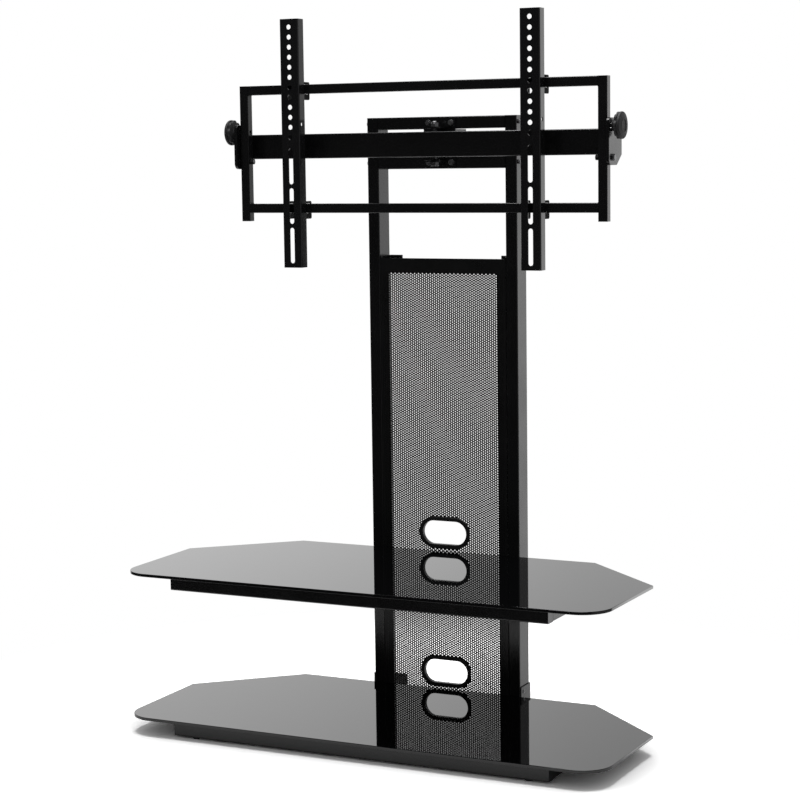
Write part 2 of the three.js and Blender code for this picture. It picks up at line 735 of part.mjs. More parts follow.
function televisionArm() {
  const half = armWidth / 2;
  const inner = half - armWall;
  const radius = armBendRadius;
  const profile = new THREE.Shape();
  profile.moveTo(-half, armDepth);
  profile.absarc(-half + radius, radius, radius, Math.PI, Math.PI * 3 / 2, false);
  profile.absarc(half - radius, radius, radius, -Math.PI / 2, 0, false);
  profile.lineTo(half, armDepth);
  profile.lineTo(inner, armDepth);
  profile.lineTo(inner, armWall);
  profile.lineTo(-inner, armWall);
  profile.lineTo(-inner, armDepth);
  profile.closePath();
  const channel = new THREE.ExtrudeGeometry(profile, {
    depth: armLength,
    bevelEnabled: false,
    curveSegments: bendSteps,
  });
  const barHeights = [topBarHeight - armBottom, bottomBarHeight - armBottom];
  const eyeBack = armDepth + 2 * slideClearance + barSize + eyeWall;
  const eyes = [];
  const windows = [];
  for (const height of barHeights) {
    const eyeLow = height - barSize / 2 - eyeFall;
    const eyeHigh = height + barSize / 2 + eyeRise;
    const eyeDepth = eyeBack - armDepth + armWall;
    for (const sign of signs) {
      eyes.push(block(armWall, eyeDepth, eyeHigh - eyeLow,
        sign * (half - armWall / 2), eyeBack - eyeDepth / 2, (eyeLow + eyeHigh) / 2));
    }
    const windowSize = barSize + 2 * slideClearance;
    windows.push(block(armWidth + overrun, windowSize, windowSize, 0, armDepth + windowSize / 2, height));
  }
  const holes = [];
  for (let index = 0; index < armHoleCount; index += 1) {
    const height = armLength - armFirstHole - index * armHolePitch;
    holes.push(rod(armHoleRadius, armWall * 2 + overrun, alongY, holeSteps, 0, 0, height));
  }
  for (let index = 0; index < armSlotCount; index += 1) {
    const height = armSlotEnd + armSlotLength / 2 + index * armSlotPitch;
    const slot = sheet(stadium(armSlotLength, 2 * armHoleRadius), armWall * 2 + overrun, alongY);
    holes.push(slot.rotateY(Math.PI / 2).translate(0, 0, height));
  }
  const flangeHoleHeight = armLength - armRise - flangeHoleDrop;
  const flangeHole = rod(flangeHoleRadius, armWidth + overrun, alongX);
  holes.push(flangeHole.translate(0, armDepth / 2, flangeHoleHeight));
  return cut(join([channel, ...eyes]), [...windows, ...holes]);
}

const armPiece = televisionArm();
const armFront = barFront - slideClearance - armDepth;
for (const [name, sign, place] of [['left', -1, leftArmPlace], ['right', 1, rightArmPlace]]) {
  add(tiltGroup, `${name}_arm`, armPiece.clone(), blackSteel, sign * place, armFront, armBottom);
}

export default stand;
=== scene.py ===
# %% [markdown]
# # A television stand with two black glass shelves
# The real stand is welded and bolted from black powder-coated steel tube. Two panes of black
# glass lie on tube frames, a perforated sheet hides the cables, and a mount on the column
# turns and tilts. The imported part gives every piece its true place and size, so this lesson
# starts by loading it. All lengths here are metres.

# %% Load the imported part
import json
import math

import bmesh
import bpy
from mathutils import Matrix, Vector


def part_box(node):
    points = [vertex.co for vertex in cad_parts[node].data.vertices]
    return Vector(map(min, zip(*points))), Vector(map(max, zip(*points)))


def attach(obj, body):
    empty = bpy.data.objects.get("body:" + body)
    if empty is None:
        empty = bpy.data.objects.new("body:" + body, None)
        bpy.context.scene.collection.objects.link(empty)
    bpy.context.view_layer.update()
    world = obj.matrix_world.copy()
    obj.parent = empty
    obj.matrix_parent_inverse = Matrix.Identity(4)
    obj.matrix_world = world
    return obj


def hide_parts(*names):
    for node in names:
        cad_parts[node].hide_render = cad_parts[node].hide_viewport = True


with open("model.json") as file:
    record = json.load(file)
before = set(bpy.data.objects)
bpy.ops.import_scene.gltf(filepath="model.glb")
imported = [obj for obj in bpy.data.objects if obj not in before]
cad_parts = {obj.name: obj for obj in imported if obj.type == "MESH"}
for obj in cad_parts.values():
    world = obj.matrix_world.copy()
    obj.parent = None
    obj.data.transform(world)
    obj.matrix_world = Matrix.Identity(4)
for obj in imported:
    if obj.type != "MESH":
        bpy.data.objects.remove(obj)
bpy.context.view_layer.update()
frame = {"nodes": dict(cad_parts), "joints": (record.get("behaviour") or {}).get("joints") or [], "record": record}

body_of_node = {}
for body, members in frame["record"]["behaviour"]["bodies"].items():
    for member in members:
        body_of_node[member] = body

# %% [markdown]
# ## Black finishes
# Powder coat is never quite even: it has a fine orange-peel texture, and its gloss wanders a
# little. A single flat black would hide that, and a painted image would have to be fitted to
# each piece. So one material function makes every coated, moulded or plated finish from
# noises: a slow one moves the roughness and the depth of the black, and a fine one raises the
# grain. They use the piece's own coordinates, so the grain stays on the piece when it moves.
# Two small functions make the shader nodes that all finishes share.

# %% Steps of a shader tree
def noise(tree, place, scale, detail):
    """A noise over a place, finer as its scale grows."""
    node = tree.nodes.new("ShaderNodeTexNoise")
    node.inputs["Scale"].default_value = scale
    node.inputs["Detail"].default_value = detail
    tree.links.new(place, node.inputs["Vector"])
    return node.outputs["Fac"]


def ranged(tree, source, span, levels=(0.0, 1.0), smooth=False):
    """A value's place within a span, as a share or between two levels."""
    node = tree.nodes.new("ShaderNodeMapRange")
    node.interpolation_type = "SMOOTHSTEP" if smooth else "LINEAR"
    for name, amount in zip(("From Min", "From Max", "To Min", "To Max"), (*span, *levels)):
        node.inputs[name].default_value = amount
    tree.links.new(source, node.inputs["Value"])
    return node.outputs["Result"]


print("helpers for shader trees: noise, ranged")

# %% [markdown]
# The slow noise has patches of about seven centimetres, and the fine one is as small as the
# grain of the coat. Both fill space, so no piece has to be unwrapped and no seam shows at an
# edge, as it would with a painted image.

# %% A finish with a grain
slow_scale = 14.0
slow_span = (0.3, 0.7)
black_spread = 0.15


def grained_finish(name, colour, roughness, spread, grain_size, grain_height, metallic=0.0):
    """A dark finish whose gloss and depth vary slowly, with a fine raised grain."""
    material = bpy.data.materials.new(name)
    material.use_nodes = True
    tree = material.node_tree
    link = tree.links.new
    shader = tree.nodes["Principled BSDF"]
    shader.inputs["Metallic"].default_value = metallic
    place = tree.nodes.new("ShaderNodeTexCoord").outputs["Object"]
    slow = noise(tree, place, slow_scale, 4.0)
    link(ranged(tree, slow, slow_span, (roughness - spread, roughness + spread)), shader.inputs["Roughness"])
    depth = tree.nodes.new("ShaderNodeValToRGB")
    for element, position, sign in zip(depth.color_ramp.elements, slow_span, (-1, 1)):
        element.position = position
        element.color = [(1 + sign * black_spread) * x for x in colour] + [1.0]
    link(slow, depth.inputs["Fac"])
    link(depth.outputs["Color"], shader.inputs["Base Color"])
    bump = tree.nodes.new("ShaderNodeBump")
    bump.inputs["Strength"].default_value = 1.0
    bump.inputs["Distance"].default_value = grain_height
    link(noise(tree, place, 1.0 / grain_size, 2.0), bump.inputs["Height"])
    link(bump.outputs["Normal"], shader.inputs["Normal"])
    return material


print("slow patches are about", round(1 / slow_scale, 3), "across")

# %% [markdown]
# The steel is coated black, with more gloss on the arms than on the tubes and less on the
# sheet. The knobs are moulded in a matt, slightly paler black, and the bolts are plated. Each
# finish has its own colour, roughness, spread of roughness, grain size and grain height.

# %% Finishes of steel, plastic, rubber and bolts
tube_coat = grained_finish("tube_coat", (0.0042, 0.0042, 0.0045), 0.20, 0.04, 0.0018, 0.00004)
arm_coat = grained_finish("arm_coat", (0.0058, 0.0058, 0.0062), 0.11, 0.03, 0.0016, 0.00002)
# A duller, less glossy copy of the arm's black: painted shade that darkens the eyes and the pivot nuts.
shade_dulled_black = grained_finish("shade_dulled_black", (0.0060, 0.0060, 0.0062), 0.70, 0.08, 0.0010, 0.00004)
sheet_coat = grained_finish("sheet_coat", (0.0048, 0.0048, 0.0051), 0.30, 0.04, 0.0012, 0.00003)
moulded_black = grained_finish("moulded_black", (0.012, 0.012, 0.0125), 0.42, 0.06, 0.0006, 0.00004)
knob_black = grained_finish("knob_black", (0.028, 0.028, 0.029), 0.55, 0.05, 0.0006, 0.00004)
rubber_black = grained_finish("rubber_black", (0.014, 0.014, 0.014), 0.75, 0.08, 0.0008, 0.00005)
plated_bolt = grained_finish("plated_bolt", (0.17, 0.17, 0.175), 0.26, 0.06, 0.0012, 0.00002, 0.8)
# Less gloss on the duller black is part of its painted shade; the knobs are matt plastic of their own.
for finish, gloss in ((shade_dulled_black, 0.15), (knob_black, 0.25)):
    finish.node_tree.nodes["Principled BSDF"].inputs["Specular IOR Level"].default_value = gloss
finishes = (tube_coat, arm_coat, shade_dulled_black, sheet_coat, moulded_black, knob_black, rubber_black, plated_bolt)
print("finishes:", ", ".join(finish.name for finish in finishes))

# %% [markdown]
# Tempered black glass is lacquered underneath, so no light passes through. A clear glass over
# a black layer would need many bounces of light for the same look, so one black surface with
# the gloss of glass stands for both. It is as smooth as a mirror and only holds a little haze
# from wiping, which a large noise puts into its roughness.

# %% Black glass
glass_colour = (0.0015, 0.0016, 0.0018, 1.0)
glass_index = 1.52
haze_scale = 5.0
haze_span = (0.35, 0.75)
haze_roughness = (0.015, 0.045)
shelf_glass = bpy.data.materials.new("shelf_glass")
shelf_glass.use_nodes = True
tree = shelf_glass.node_tree
shader = tree.nodes["Principled BSDF"]
shader.inputs["Base Color"].default_value = glass_colour
shader.inputs["IOR"].default_value = glass_index
haze = noise(tree, tree.nodes.new("ShaderNodeTexCoord").outputs["Object"], haze_scale, 5.0)
tree.links.new(ranged(tree, haze, haze_span, haze_roughness), shader.inputs["Roughness"])
print("glass roughness between", haze_roughness[0], "and", haze_roughness[1])

# %% [markdown]
# ## Making and fitting pieces
# Every new piece takes the place of one node of the part, or adds a small detail to one. It
# rides on the same moving body, so that it turns, tilts and slides with it, and it wears its
# finish. Its place comes from the node's box, so nothing is placed by eye.

# %% Places taken from the part
def middle_of(node):
    """The middle of a node's box."""
    low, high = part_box(node)
    return (low + high) / 2


def side_reach(node):
    """How far a node on one side starts and ends from the stand's middle plane."""
    low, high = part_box(node)
    return sorted((abs(low.x), abs(high.x)))


print("left post spans, from the middle:", [round(x, 4) for x in side_reach("left_post")])

# %% [markdown]
# A new piece could be coloured and bound to its body in two places, but one of the two is
# soon forgotten. So one function dresses a piece, and another also lets it stand for its node,
# which then isn't drawn.

# %% Fit a piece in place of a node
def linked(name, mesh):
    """A new object for a mesh, smooth shaded and linked to the scene."""
    mesh.polygons.foreach_set("use_smooth", [True] * len(mesh.polygons))
    piece = bpy.data.objects.new(name, mesh)
    bpy.context.scene.collection.objects.link(piece)
    return piece


def object_from(name, shape):
    """Turns a bmesh into an object, with its faces looking outwards."""
    bmesh.ops.recalc_face_normals(shape, faces=shape.faces)
    mesh = bpy.data.meshes.new(name)
    shape.to_mesh(mesh)
    shape.free()
    return linked(name, mesh)


def dress(piece, body, material):
    """Gives a piece its finish and the moving body that it rides on."""
    piece.data.materials.clear()
    piece.data.materials.append(material)
    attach(piece, body)
    return piece


def fit(piece, node, material):
    """Dresses a piece and lets it stand for a node of the part."""
    dress(piece, body_of_node[node], material)
    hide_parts(node)
    return piece


print("pieces to draw anew:", len(body_of_node))

# %% [markdown]
# Real edges are never knife-sharp: a sawn tube, a punched plate and a moulding all catch a
# thin line of light. Rounding each profile by hand would be slow, and a bevel everywhere would
# soften round parts too. A bevel limited by angle rounds the sharp edges alone, and weighted
# normals keep the flat faces flat beside it.

# %% Soften the sharp edges
edge_strips = 2


def soften(piece, width, angle=50.0):
    """Rounds every edge that turns by more than the angle."""
    bevel = piece.modifiers.new("rounded_edges", "BEVEL")
    bevel.width = width
    bevel.segments = edge_strips
    bevel.limit_method = "ANGLE"
    bevel.angle_limit = math.radians(angle)
    bevel.use_clamp_overlap = True
    normals = piece.modifiers.new("flat_faces", "WEIGHTED_NORMAL")
    normals.keep_sharp = True
    normals.weight = 100
    return piece


def settled(piece):
    """Turns a piece with modifiers into a plain mesh, so that more work can follow."""
    graph = bpy.context.evaluated_depsgraph_get()
    mesh = bpy.data.meshes.new_from_object(piece.evaluated_get(graph))
    piece.modifiers.clear()
    piece.data = mesh
    return piece


print("strips across a rounded edge:", edge_strips)

# %% [markdown]
# Tubes, bolts, knobs and rims are all rows of points that are joined by quads. One function
# joins such rows; the rows can close into a ring, as round a hollow tube, or end in caps.

# %% Join rows of points
def lofted(name, rows, ring=False, caps=False):
    """A skin over rows of points, each row a closed loop with as many points."""
    shape = bmesh.new()
    made = [[shape.verts.new(point) for point in row] for row in rows]
    pairs = list(zip(made, made[1:]))
    if ring:
        pairs.append((made[-1], made[0]))
    for first, second in pairs:
        for index in range(len(first)):
            after = (index + 1) % len(first)
            shape.faces.new((first[index], first[after], second[after], second[index]))
    if caps:
        shape.faces.new(made[0])
        shape.faces.new(made[-1])
    return object_from(name, shape)


def arc(centre, radius, start, end, steps):
    """Points on an arc, from a start to an end angle in degrees."""
    points = []
    for step in range(steps + 1):
        angle = math.radians(start + (end - start) * step / steps)
        points.append((centre[0] + radius * math.cos(angle), centre[1] + radius * math.sin(angle)))
    return points


def circle(centre, radius, sides):
    """Points all round a circle."""
    return arc(centre, radius, 0, 360 - 360 / sides, sides - 1)


def round_rectangle(width, height, radius, steps=5):
    """A rectangle round the middle, with round corners."""
    across, up = width / 2 - radius, height / 2 - radius
    corners = [(across, up, 0), (-across, up, 90), (-across, -up, 180), (across, -up, 270)]
    return [p for x, y, turn in corners for p in arc((x, y), radius, turn, turn + 90, steps)]


print("points round a square tube:", len(round_rectangle(0.02, 0.02, 0.002)))

# %% [markdown]
# ## Welded and bolted tube
# The rails, posts, crossbars, beam and frame bars are seam-welded tube with rounded corners.
# The outside corners have a radius of about twice the wall, which is what gives such tube its
# bright corner line. A plain box with a bevel would look solid at its open ends, so each tube
# is a skin over rows of points, drawn in its own box in the part. With a wall it is hollow and
# open at its ends. Without one its ends are closed, as by a cap, and nobody sees inside.

# %% Draw a rectangular tube
tube_corner = 0.0026
saw_edge = 0.0004
smallest_corner = 0.0005


def tube_rows(node, axis, wall, corner):
    """Rows of points for a tube along an axis: outside first, then back through any bore."""
    low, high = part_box(node)
    across, up = [side for side in range(3) if side != axis]
    middle = middle_of(node)
    width, height = high[across] - low[across], high[up] - low[up]

    def row(loop, along):
        points = []
        for u, v in loop:
            point = middle.copy()
            point[across] += u
            point[up] += v
            point[axis] = along
            points.append(point)
        return points

    outside = round_rectangle(width, height, corner)
    rows = [row(outside, low[axis]), row(outside, high[axis])]
    if wall:
        bore = round_rectangle(width - 2 * wall, height - 2 * wall, max(corner - wall, smallest_corner))
        rows += [row(bore, high[axis]), row(bore, low[axis])]
    return rows


def tube(node, axis, wall=0.0, corner=tube_corner):
    """A tube in the box of a node, with its edges still sharp."""
    return lofted(f"{node}_tube", tube_rows(node, axis, wall, corner), wall > 0, wall == 0)


def steel(piece, node, edge=saw_edge):
    """Softens a steel piece and fits it with the coat of the tubes."""
    return fit(soften(piece, edge), node, tube_coat)


print("corner of the tubes:", tube_corner, "and their sawn edge:", saw_edge)

# %% [markdown]
# Under each shelf, two rails run across, and two side rails and two bearers run from front to
# back. The ones that run across have closed ends. All twelve could be drawn one by one, but a
# loop over their names keeps them alike.

# %% Rails and bearers under the shelves
rail_wall = 0.0015
rails = []
for level in ("base", "shelf"):
    for side in ("front", "rear"):
        node = f"{level}_{side}_rail"
        rails.append(steel(tube(node, 0), node))
    for side in ("left", "right"):
        for kind in ("rail", "bearer"):
            node = f"{level}_{side}_{kind}"
            rails.append(steel(tube(node, 1, rail_wall), node))
print("rails and bearers under the shelves:", len(rails))

# %% [markdown]
# The column is two posts with closed tops and two crossbars between them. The posts are of
# larger tube, so their corners are rounder and their ends, where a cap is welded on and
# ground, have a wider rounding. The tubes differ only in such sizes, so the same functions
# make them.

# %% Posts and crossbars
post_corner = 0.0032
post_edge = 0.0007
for side in ("left", "right"):
    node = f"{side}_post"
    steel(tube(node, 2, corner=post_corner), node, post_edge)
for level in ("upper", "lower"):
    node = f"{level}_crossbar"
    steel(tube(node, 0), node)

# %% [markdown]
# The beam carries the television frame and has a thicker wall. The top and bottom bars of that
# frame are smaller tube, cut to fit between the side bars, and the arms slide on them. None of
# these has caps, so their walls are drawn too.

# %% Main beam and the bars of the television frame
beam_wall = 0.002
beam_corner = 0.003
bar_wall = 0.0015
bar_corner = 0.002
steel(tube("main_beam", 0, beam_wall, beam_corner), "main_beam")
for side in ("top", "bottom"):
    node = f"frame_{side}_bar"
    steel(tube(node, 0, bar_wall, bar_corner), node)

# %% [markdown]
# The side bars of the television frame carry the pivot bolts and the studs of the knobs, so
# they need real holes. A cutter in the shape of each hole is taken away with a boolean, and
# the softening comes after it, so that the rims of the holes are rounded as well.

# %% Cut holes with a boolean
cutter_sides = 32


def carve(piece, cutters):
    """Takes the cutters out of a piece and removes them."""
    whole = bmesh.new()
    for cutter in cutters:
        whole.from_mesh(cutter.data)
        bpy.data.objects.remove(cutter)
    knife = object_from("knife", whole)
    cut = piece.modifiers.new("cut", "BOOLEAN")
    cut.operation = "DIFFERENCE"
    cut.solver = "EXACT"
    cut.object = knife
    bpy.context.view_layer.update()
    settled(piece)
    bpy.data.objects.remove(knife)
    return piece


axis_turns = {
    0: Matrix(((0, 0, 1, 0), (1, 0, 0, 0), (0, 1, 0, 0), (0, 0, 0, 1))),
    1: Matrix(((1, 0, 0, 0), (0, 0, -1, 0), (0, 1, 0, 0), (0, 0, 0, 1))),
    2: Matrix.Identity(4),
}


def prism(loop, length, axis, centre):
    """A straight cutter of a drawn loop, along an axis."""
    turn = Matrix.Translation(centre) @ axis_turns[axis]
    rows = [[turn @ Vector((u, v, end * length / 2)) for u, v in loop] for end in (-1, 1)]
    return lofted("cutter", rows, caps=True)


def round_cutter(radius, length, axis, centre, sides=cutter_sides):
    """A straight round cutter along an axis."""
    return prism(circle((0, 0), radius, sides), length, axis, centre)


print("sides of a round cutter:", cutter_sides)

# %% [markdown]
# Both holes go through both walls of a bar, so one cutter, longer than the bar is wide, serves
# for each. Their places are those of the pivot bolt and of the knob, so a hole can't miss what
# runs through it.

# %% Side bars with their holes and closed ends
pivot_hole = 0.0044
stud_hole = 0.0042
for side in ("left", "right"):
    node = f"frame_{side}_bar"
    bar = tube(node, 2, corner=bar_corner)
    pivot = middle_of(f"{side}_pivot_bolt")
    stud = middle_of(f"{side}_knob")
    inner, outer = side_reach(node)
    through = 2 * (outer - inner)
    across = middle_of(node).x
    carve(bar, [
        round_cutter(pivot_hole, through, 0, Vector((across, pivot.y, pivot.z))),
        round_cutter(stud_hole, through, 0, Vector((across, stud.y, stud.z))),
    ])
    steel(bar, node)
print("lock stud above the pivot:", round(stud.z - pivot.z, 4))

# %% [markdown]
# ## Glass shelves
# Each pane has a straight front with round corners, short sides and slanted back corners. A
# flat curve with a filled inside makes a plate of any outline, and its bevel is the ground and
# polished edge of the glass, which draws a fine light line round the shelf.

# %% Plates from a flat outline
def plate(name, loops, thickness, edge, turn, edge_steps=edge_strips):
    """A plate of an outline and its holes, with rounded edges, laid by a matrix."""
    curve = bpy.data.curves.new(name, "CURVE")
    curve.dimensions = "2D"
    curve.fill_mode = "BOTH"
    curve.extrude = thickness / 2 - edge
    curve.bevel_depth = edge
    curve.bevel_resolution = edge_steps
    curve.offset = -edge
    for loop in loops:
        spline = curve.splines.new("POLY")
        spline.points.add(len(loop) - 1)
        for point, (u, v) in zip(spline.points, loop):
            point.co = (u, v, 0.0, 1.0)
        spline.use_cyclic_u = True
    drawing = bpy.data.objects.new(name + "_drawing", curve)
    bpy.context.scene.collection.objects.link(drawing)
    graph = bpy.context.evaluated_depsgraph_get()
    mesh = bpy.data.meshes.new_from_object(drawing.evaluated_get(graph))
    bpy.data.objects.remove(drawing)
    shape = bmesh.new()
    shape.from_mesh(mesh)
    bmesh.ops.remove_doubles(shape, verts=shape.verts, dist=1e-6)
    shape.transform(turn)
    piece = object_from(name, shape)
    normals = piece.modifiers.new("flat_faces", "WEIGHTED_NORMAL")
    normals.weight = 100
    return piece


print("steps on a plate's edge:", edge_strips)

# %% [markdown]
# Both panes are cut to one pattern. The sides draw in by three millimetres towards the front,
# and quarter circles join them to its straight edge. A scaled copy of one pane would change
# its corners too, so each outline is drawn from its own box.

# %% Two panes
glass_front_inset = 0.003
glass_corner = 0.060
corner_steps = 28
glass_cut_across = 0.181
glass_cut_deep = 0.170
polished_edge = 0.0009
for level in ("lower", "upper"):
    low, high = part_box(f"{level}_glass")
    front_corner = high.x - glass_front_inset - glass_corner
    outline = [(high.x - glass_cut_across, high.y), (low.x + glass_cut_across, high.y)]
    outline += [(low.x, high.y - glass_cut_deep)]
    outline += arc((-front_corner, low.y + glass_corner), glass_corner, 180, 270, corner_steps)
    outline += arc((front_corner, low.y + glass_corner), glass_corner, 270, 360, corner_steps)
    outline += [(high.x, high.y - glass_cut_deep)]
    laid = Matrix.Translation((0, 0, (low.z + high.z) / 2))
    pane = plate(f"{level}_pane", [outline], high.z - low.z, polished_edge, laid, edge_steps=3)
    fit(pane, f"{level}_glass", shelf_glass)
print("pane thickness:", round(high.z - low.z, 4))

# %% [markdown]
# Thin rubber strips keep the glass off the steel, and plastic plugs close the posts' lower
# ends. They have plain outlines, which the part already holds, so drawing them again would
# only risk a wrong size. Their shapes are copied, their flat faces joined up, and their edges
# softened.

# %% Rubber strips and plugs
pad_round = 0.0003
plug_round = 0.0005


def copied(node, width):
    """The node's own shape with its flat faces joined up and its edges softened."""
    shape = bmesh.new()
    shape.from_mesh(frame["nodes"][node].data)
    bmesh.ops.remove_doubles(shape, verts=shape.verts, dist=1e-6)
    flat = math.radians(1.0)
    bmesh.ops.dissolve_limit(shape, angle_limit=flat, verts=shape.verts, edges=shape.edges)
    points = [vertex.co.copy() for vertex in shape.verts]
    shape.verts.index_update()
    faces = [[vertex.index for vertex in face.verts] for face in shape.faces]
    shape.free()
    mesh = bpy.data.meshes.new(node + "_shape")
    mesh.from_pydata(points, [], faces)
    return soften(linked(node + "_shape", mesh), width, angle=35.0)


for level in ("base", "shelf"):
    for side in ("front", "rear"):
        node = f"{level}_{side}_pad"
        fit(copied(node, pad_round), node, rubber_black)

# %% [markdown]
# The front feet are low moulded glides. Their side swells from a narrower sole, which a row of
# circles shows better than a bevelled disc. Each row is a share of the radius at a share of
# the height.

# %% Plugs and front feet
foot_profile = [(0.80, 0.0), (0.93, 0.12), (1.0, 0.35), (1.0, 0.9), (0.97, 1.0)]
foot_edge = 0.0001
foot_sides = 36
for side in ("left", "right"):
    node = f"{side}_rear_foot"
    fit(copied(node, plug_round), node, moulded_black)
    node = f"{side}_front_foot"
    low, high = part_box(node)
    middle = middle_of(node)
    foot_radius = (high.x - low.x) / 2
    rows = []
    for share, lift in foot_profile:
        loop = circle((middle.x, middle.y), foot_radius * share, foot_sides)
        rows.append([Vector((x, y, low.z + lift * (high.z - low.z))) for x, y in loop])
    foot = soften(lofted(f"{side}_foot", rows, caps=True), foot_edge)
    fit(foot, node, moulded_black)
print("foot radius:", round(foot_radius, 4))

# %% [markdown]
# ## Perforated cable panel
# The sheet is punched with three-millimetre holes in staggered columns. A cell of that
# pattern is a hexagon with a hole in it, and cells that share their corners make one sheet.
# Modelling the holes, and not painting them, lets the white background shine through. Along
# its two sides the sheet is folded over into a hem, so the holes there show dark metal behind.

# %% Measures of the punched sheet
hole_pitch = 0.00503
hole_radius = 0.00158
column_step = 0.004438
cell_reach = column_step / 1.5
hem_width = 0.0205
hem_margin = 0.0065
top_margin = 0.0315
bottom_margin = 0.012
low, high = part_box("cable_panel")
rims = {level: middle_of(f"{level}_grommet") for level in ("lower", "upper")}
rim_low, rim_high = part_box("upper_grommet")
rim_width = 0.0085
sleeve_wall = 0.0035
sleeve_overlap = 0.002
plain_ring = 0.005
sleeve_half = (rim_high.z - rim_low.z) / 2 - rim_width + sleeve_wall
sleeve_straight = (rim_high.x - rim_low.x) / 2 - (rim_high.z - rim_low.z) / 2


def outside_rim(x, z):
    """How far a point lies outside the nearest grommet's sleeve."""
    gaps = []
    for centre in rims.values():
        along = max(abs(x - centre.x) - sleeve_straight, 0.0)
        gaps.append(math.hypot(along, z - centre.z) - sleeve_half)
    return min(gaps)


sheet_half = (high.x - low.x) / 2
first_row = high.z - top_margin
last_row = low.z + bottom_margin
print("rows of holes:", int((first_row - last_row) / hole_pitch) * 2)

# %% [markdown]
# A cell has a front and a back skin, and the wall inside its hole joins them. Neighbours share
# their corners through a dictionary, so the skins hang together without a merge of near points.
# Where the sheet is folded over, the holes are blind: they end at a floor inside the sheet.

# %% One cell of the sheet
corner_across = (1, 0.5, -0.5, -1, -0.5, 0.5)
corner_up = (0, 1, 1, 0, -1, -1)


def cell(shape, corners, x, z, punched, blind):
    """One hexagon of the front and back skins, with its hole and the wall inside it."""
    turns = [math.radians(60 * k) for k in range(6)]
    rings = []
    for y in (low.y, high.y):
        outer = []
        for k in range(6):
            spot = (x + corner_across[k] * cell_reach, y, z + corner_up[k] * hole_pitch / 2)
            key = (round(spot[0] * 2 / cell_reach), y, round((first_row - spot[2]) * 2 / hole_pitch))
            if key not in corners:
                corners[key] = shape.verts.new(spot)
            outer.append(corners[key])
        if not punched or (blind and y == high.y):
            shape.faces.new(outer)
            continue
        hole = [(x + hole_radius * math.cos(t), y, z + hole_radius * math.sin(t)) for t in turns]
        inner = [shape.verts.new(spot) for spot in hole]
        for k in range(6):
            after = (k + 1) % 6
            shape.faces.new((outer[k], outer[after], inner[after], inner[k]))
        rings.append(inner)
    if blind and rings:
        floor_y = (low.y + high.y) / 2
        rings.append([shape.verts.new((spot.co.x, floor_y, spot.co.z)) for spot in rings[0]])
        shape.faces.new(rings[1])
    for k in range(6 if rings else 0):
        after = (k + 1) % 6
        shape.faces.new((rings[0][k], rings[0][after], rings[1][after], rings[1][k]))


print("width of a cell:", round(2 * cell_reach, 5))

# %% [markdown]
# The cells go a little past the sheet on every side, without holes in the plain margin, and
# four straight cuts trim them to the sheet's own outline. No cell is made where a grommet's
# sleeve goes through. A boolean for each hole would take minutes for thousands of holes.

# %% The whole sheet
def punched_sheet():
    """All cells of the sheet, trimmed to its outline and closed round its edge."""
    shape = bmesh.new()
    corners = {}
    columns = math.ceil(sheet_half / column_step) + 1
    over_rows = math.ceil(top_margin / hole_pitch) + 1
    all_rows = math.ceil((high.z - low.z) / hole_pitch) + 1
    for column in range(-columns, columns + 1):
        x = column * column_step
        drop = hole_pitch / 2 if column % 2 else 0.0
        for step in range(-over_rows, all_rows):
            z = first_row - drop - step * hole_pitch
            gap = outside_rim(x, z)
            in_rows = last_row < z < first_row + hole_radius
            punched = in_rows and abs(x) < sheet_half - hem_margin and gap > plain_ring
            if gap > sleeve_overlap:
                cell(shape, corners, x, z, punched, abs(x) > sheet_half - hem_width)
    for spot, way in (((-sheet_half, 0, 0), (-1, 0, 0)), ((sheet_half, 0, 0), (1, 0, 0)),
                      ((0, 0, low.z), (0, 0, -1)), ((0, 0, high.z), (0, 0, 1))):
        everything = shape.verts[:] + shape.edges[:] + shape.faces[:]
        bmesh.ops.bisect_plane(shape, geom=everything, plane_co=spot, plane_no=way, clear_outer=True)
    rim = [(-sheet_half, low.z), (sheet_half, low.z), (sheet_half, high.z), (-sheet_half, high.z)]
    edge = [[shape.verts.new((x, y, z)) for x, z in rim] for y in (low.y, high.y)]
    for k in range(4):
        after = (k + 1) % 4
        shape.faces.new((edge[0][k], edge[0][after], edge[1][after], edge[1][k]))
    return shape


panel = object_from("punched_panel", punched_sheet())
panel.data.polygons.foreach_set("use_smooth", [False] * len(panel.data.polygons))
fit(panel, "cable_panel", sheet_coat)
print("faces of the punched sheet:", len(panel.data.polygons))

# %% [markdown]
# The long edges of the sheet are folded back, which stiffens it and shuts the narrow gap
# beside the posts. Each fold is a row of four points: two on the sheet's back, and two where
# the hem ends.

# %% Hems of the sheet
hem_depth = 0.007
hem_wall = 0.0012
hem_round = 0.0003
for side, sign in (("left", -1), ("right", 1)):
    section = [(sheet_half - hem_wall, high.y), (sheet_half, high.y)]
    section += [(sheet_half, high.y + hem_depth), (sheet_half - hem_wall, high.y + hem_depth)]
    rows = [[Vector((sign * x, y, z)) for x, y in section] for z in (low.z, high.z - hem_depth)]
    hem = soften(lofted(f"{side}_panel_hem", rows, caps=True), hem_round, angle=40.0)
    dress(hem, body_of_node["cable_panel"], sheet_coat)
    print(hem.name, "height:", round(rows[1][0].z - rows[0][0].z, 4))

# %% [markdown]
# ## Cable grommets
# Each grommet is an oblong plastic ring: a rounded rim in front of the sheet and a sleeve
# through it. Stretching a round ring would make the rim wider at its ends, so its section is
# swept round an oblong path instead, and the rim keeps one width all round.

# %% Sweep a section round an oblong
def oblong_path(straight, steps):
    """Places round an oblong: the centre of the turn and the outward direction."""
    places = []
    for side, start in ((1, -90), (-1, 90)):
        for step in range(steps + 1):
            angle = math.radians(start + 180 * step / steps)
            places.append((side * straight, math.cos(angle), math.sin(angle)))
    return places


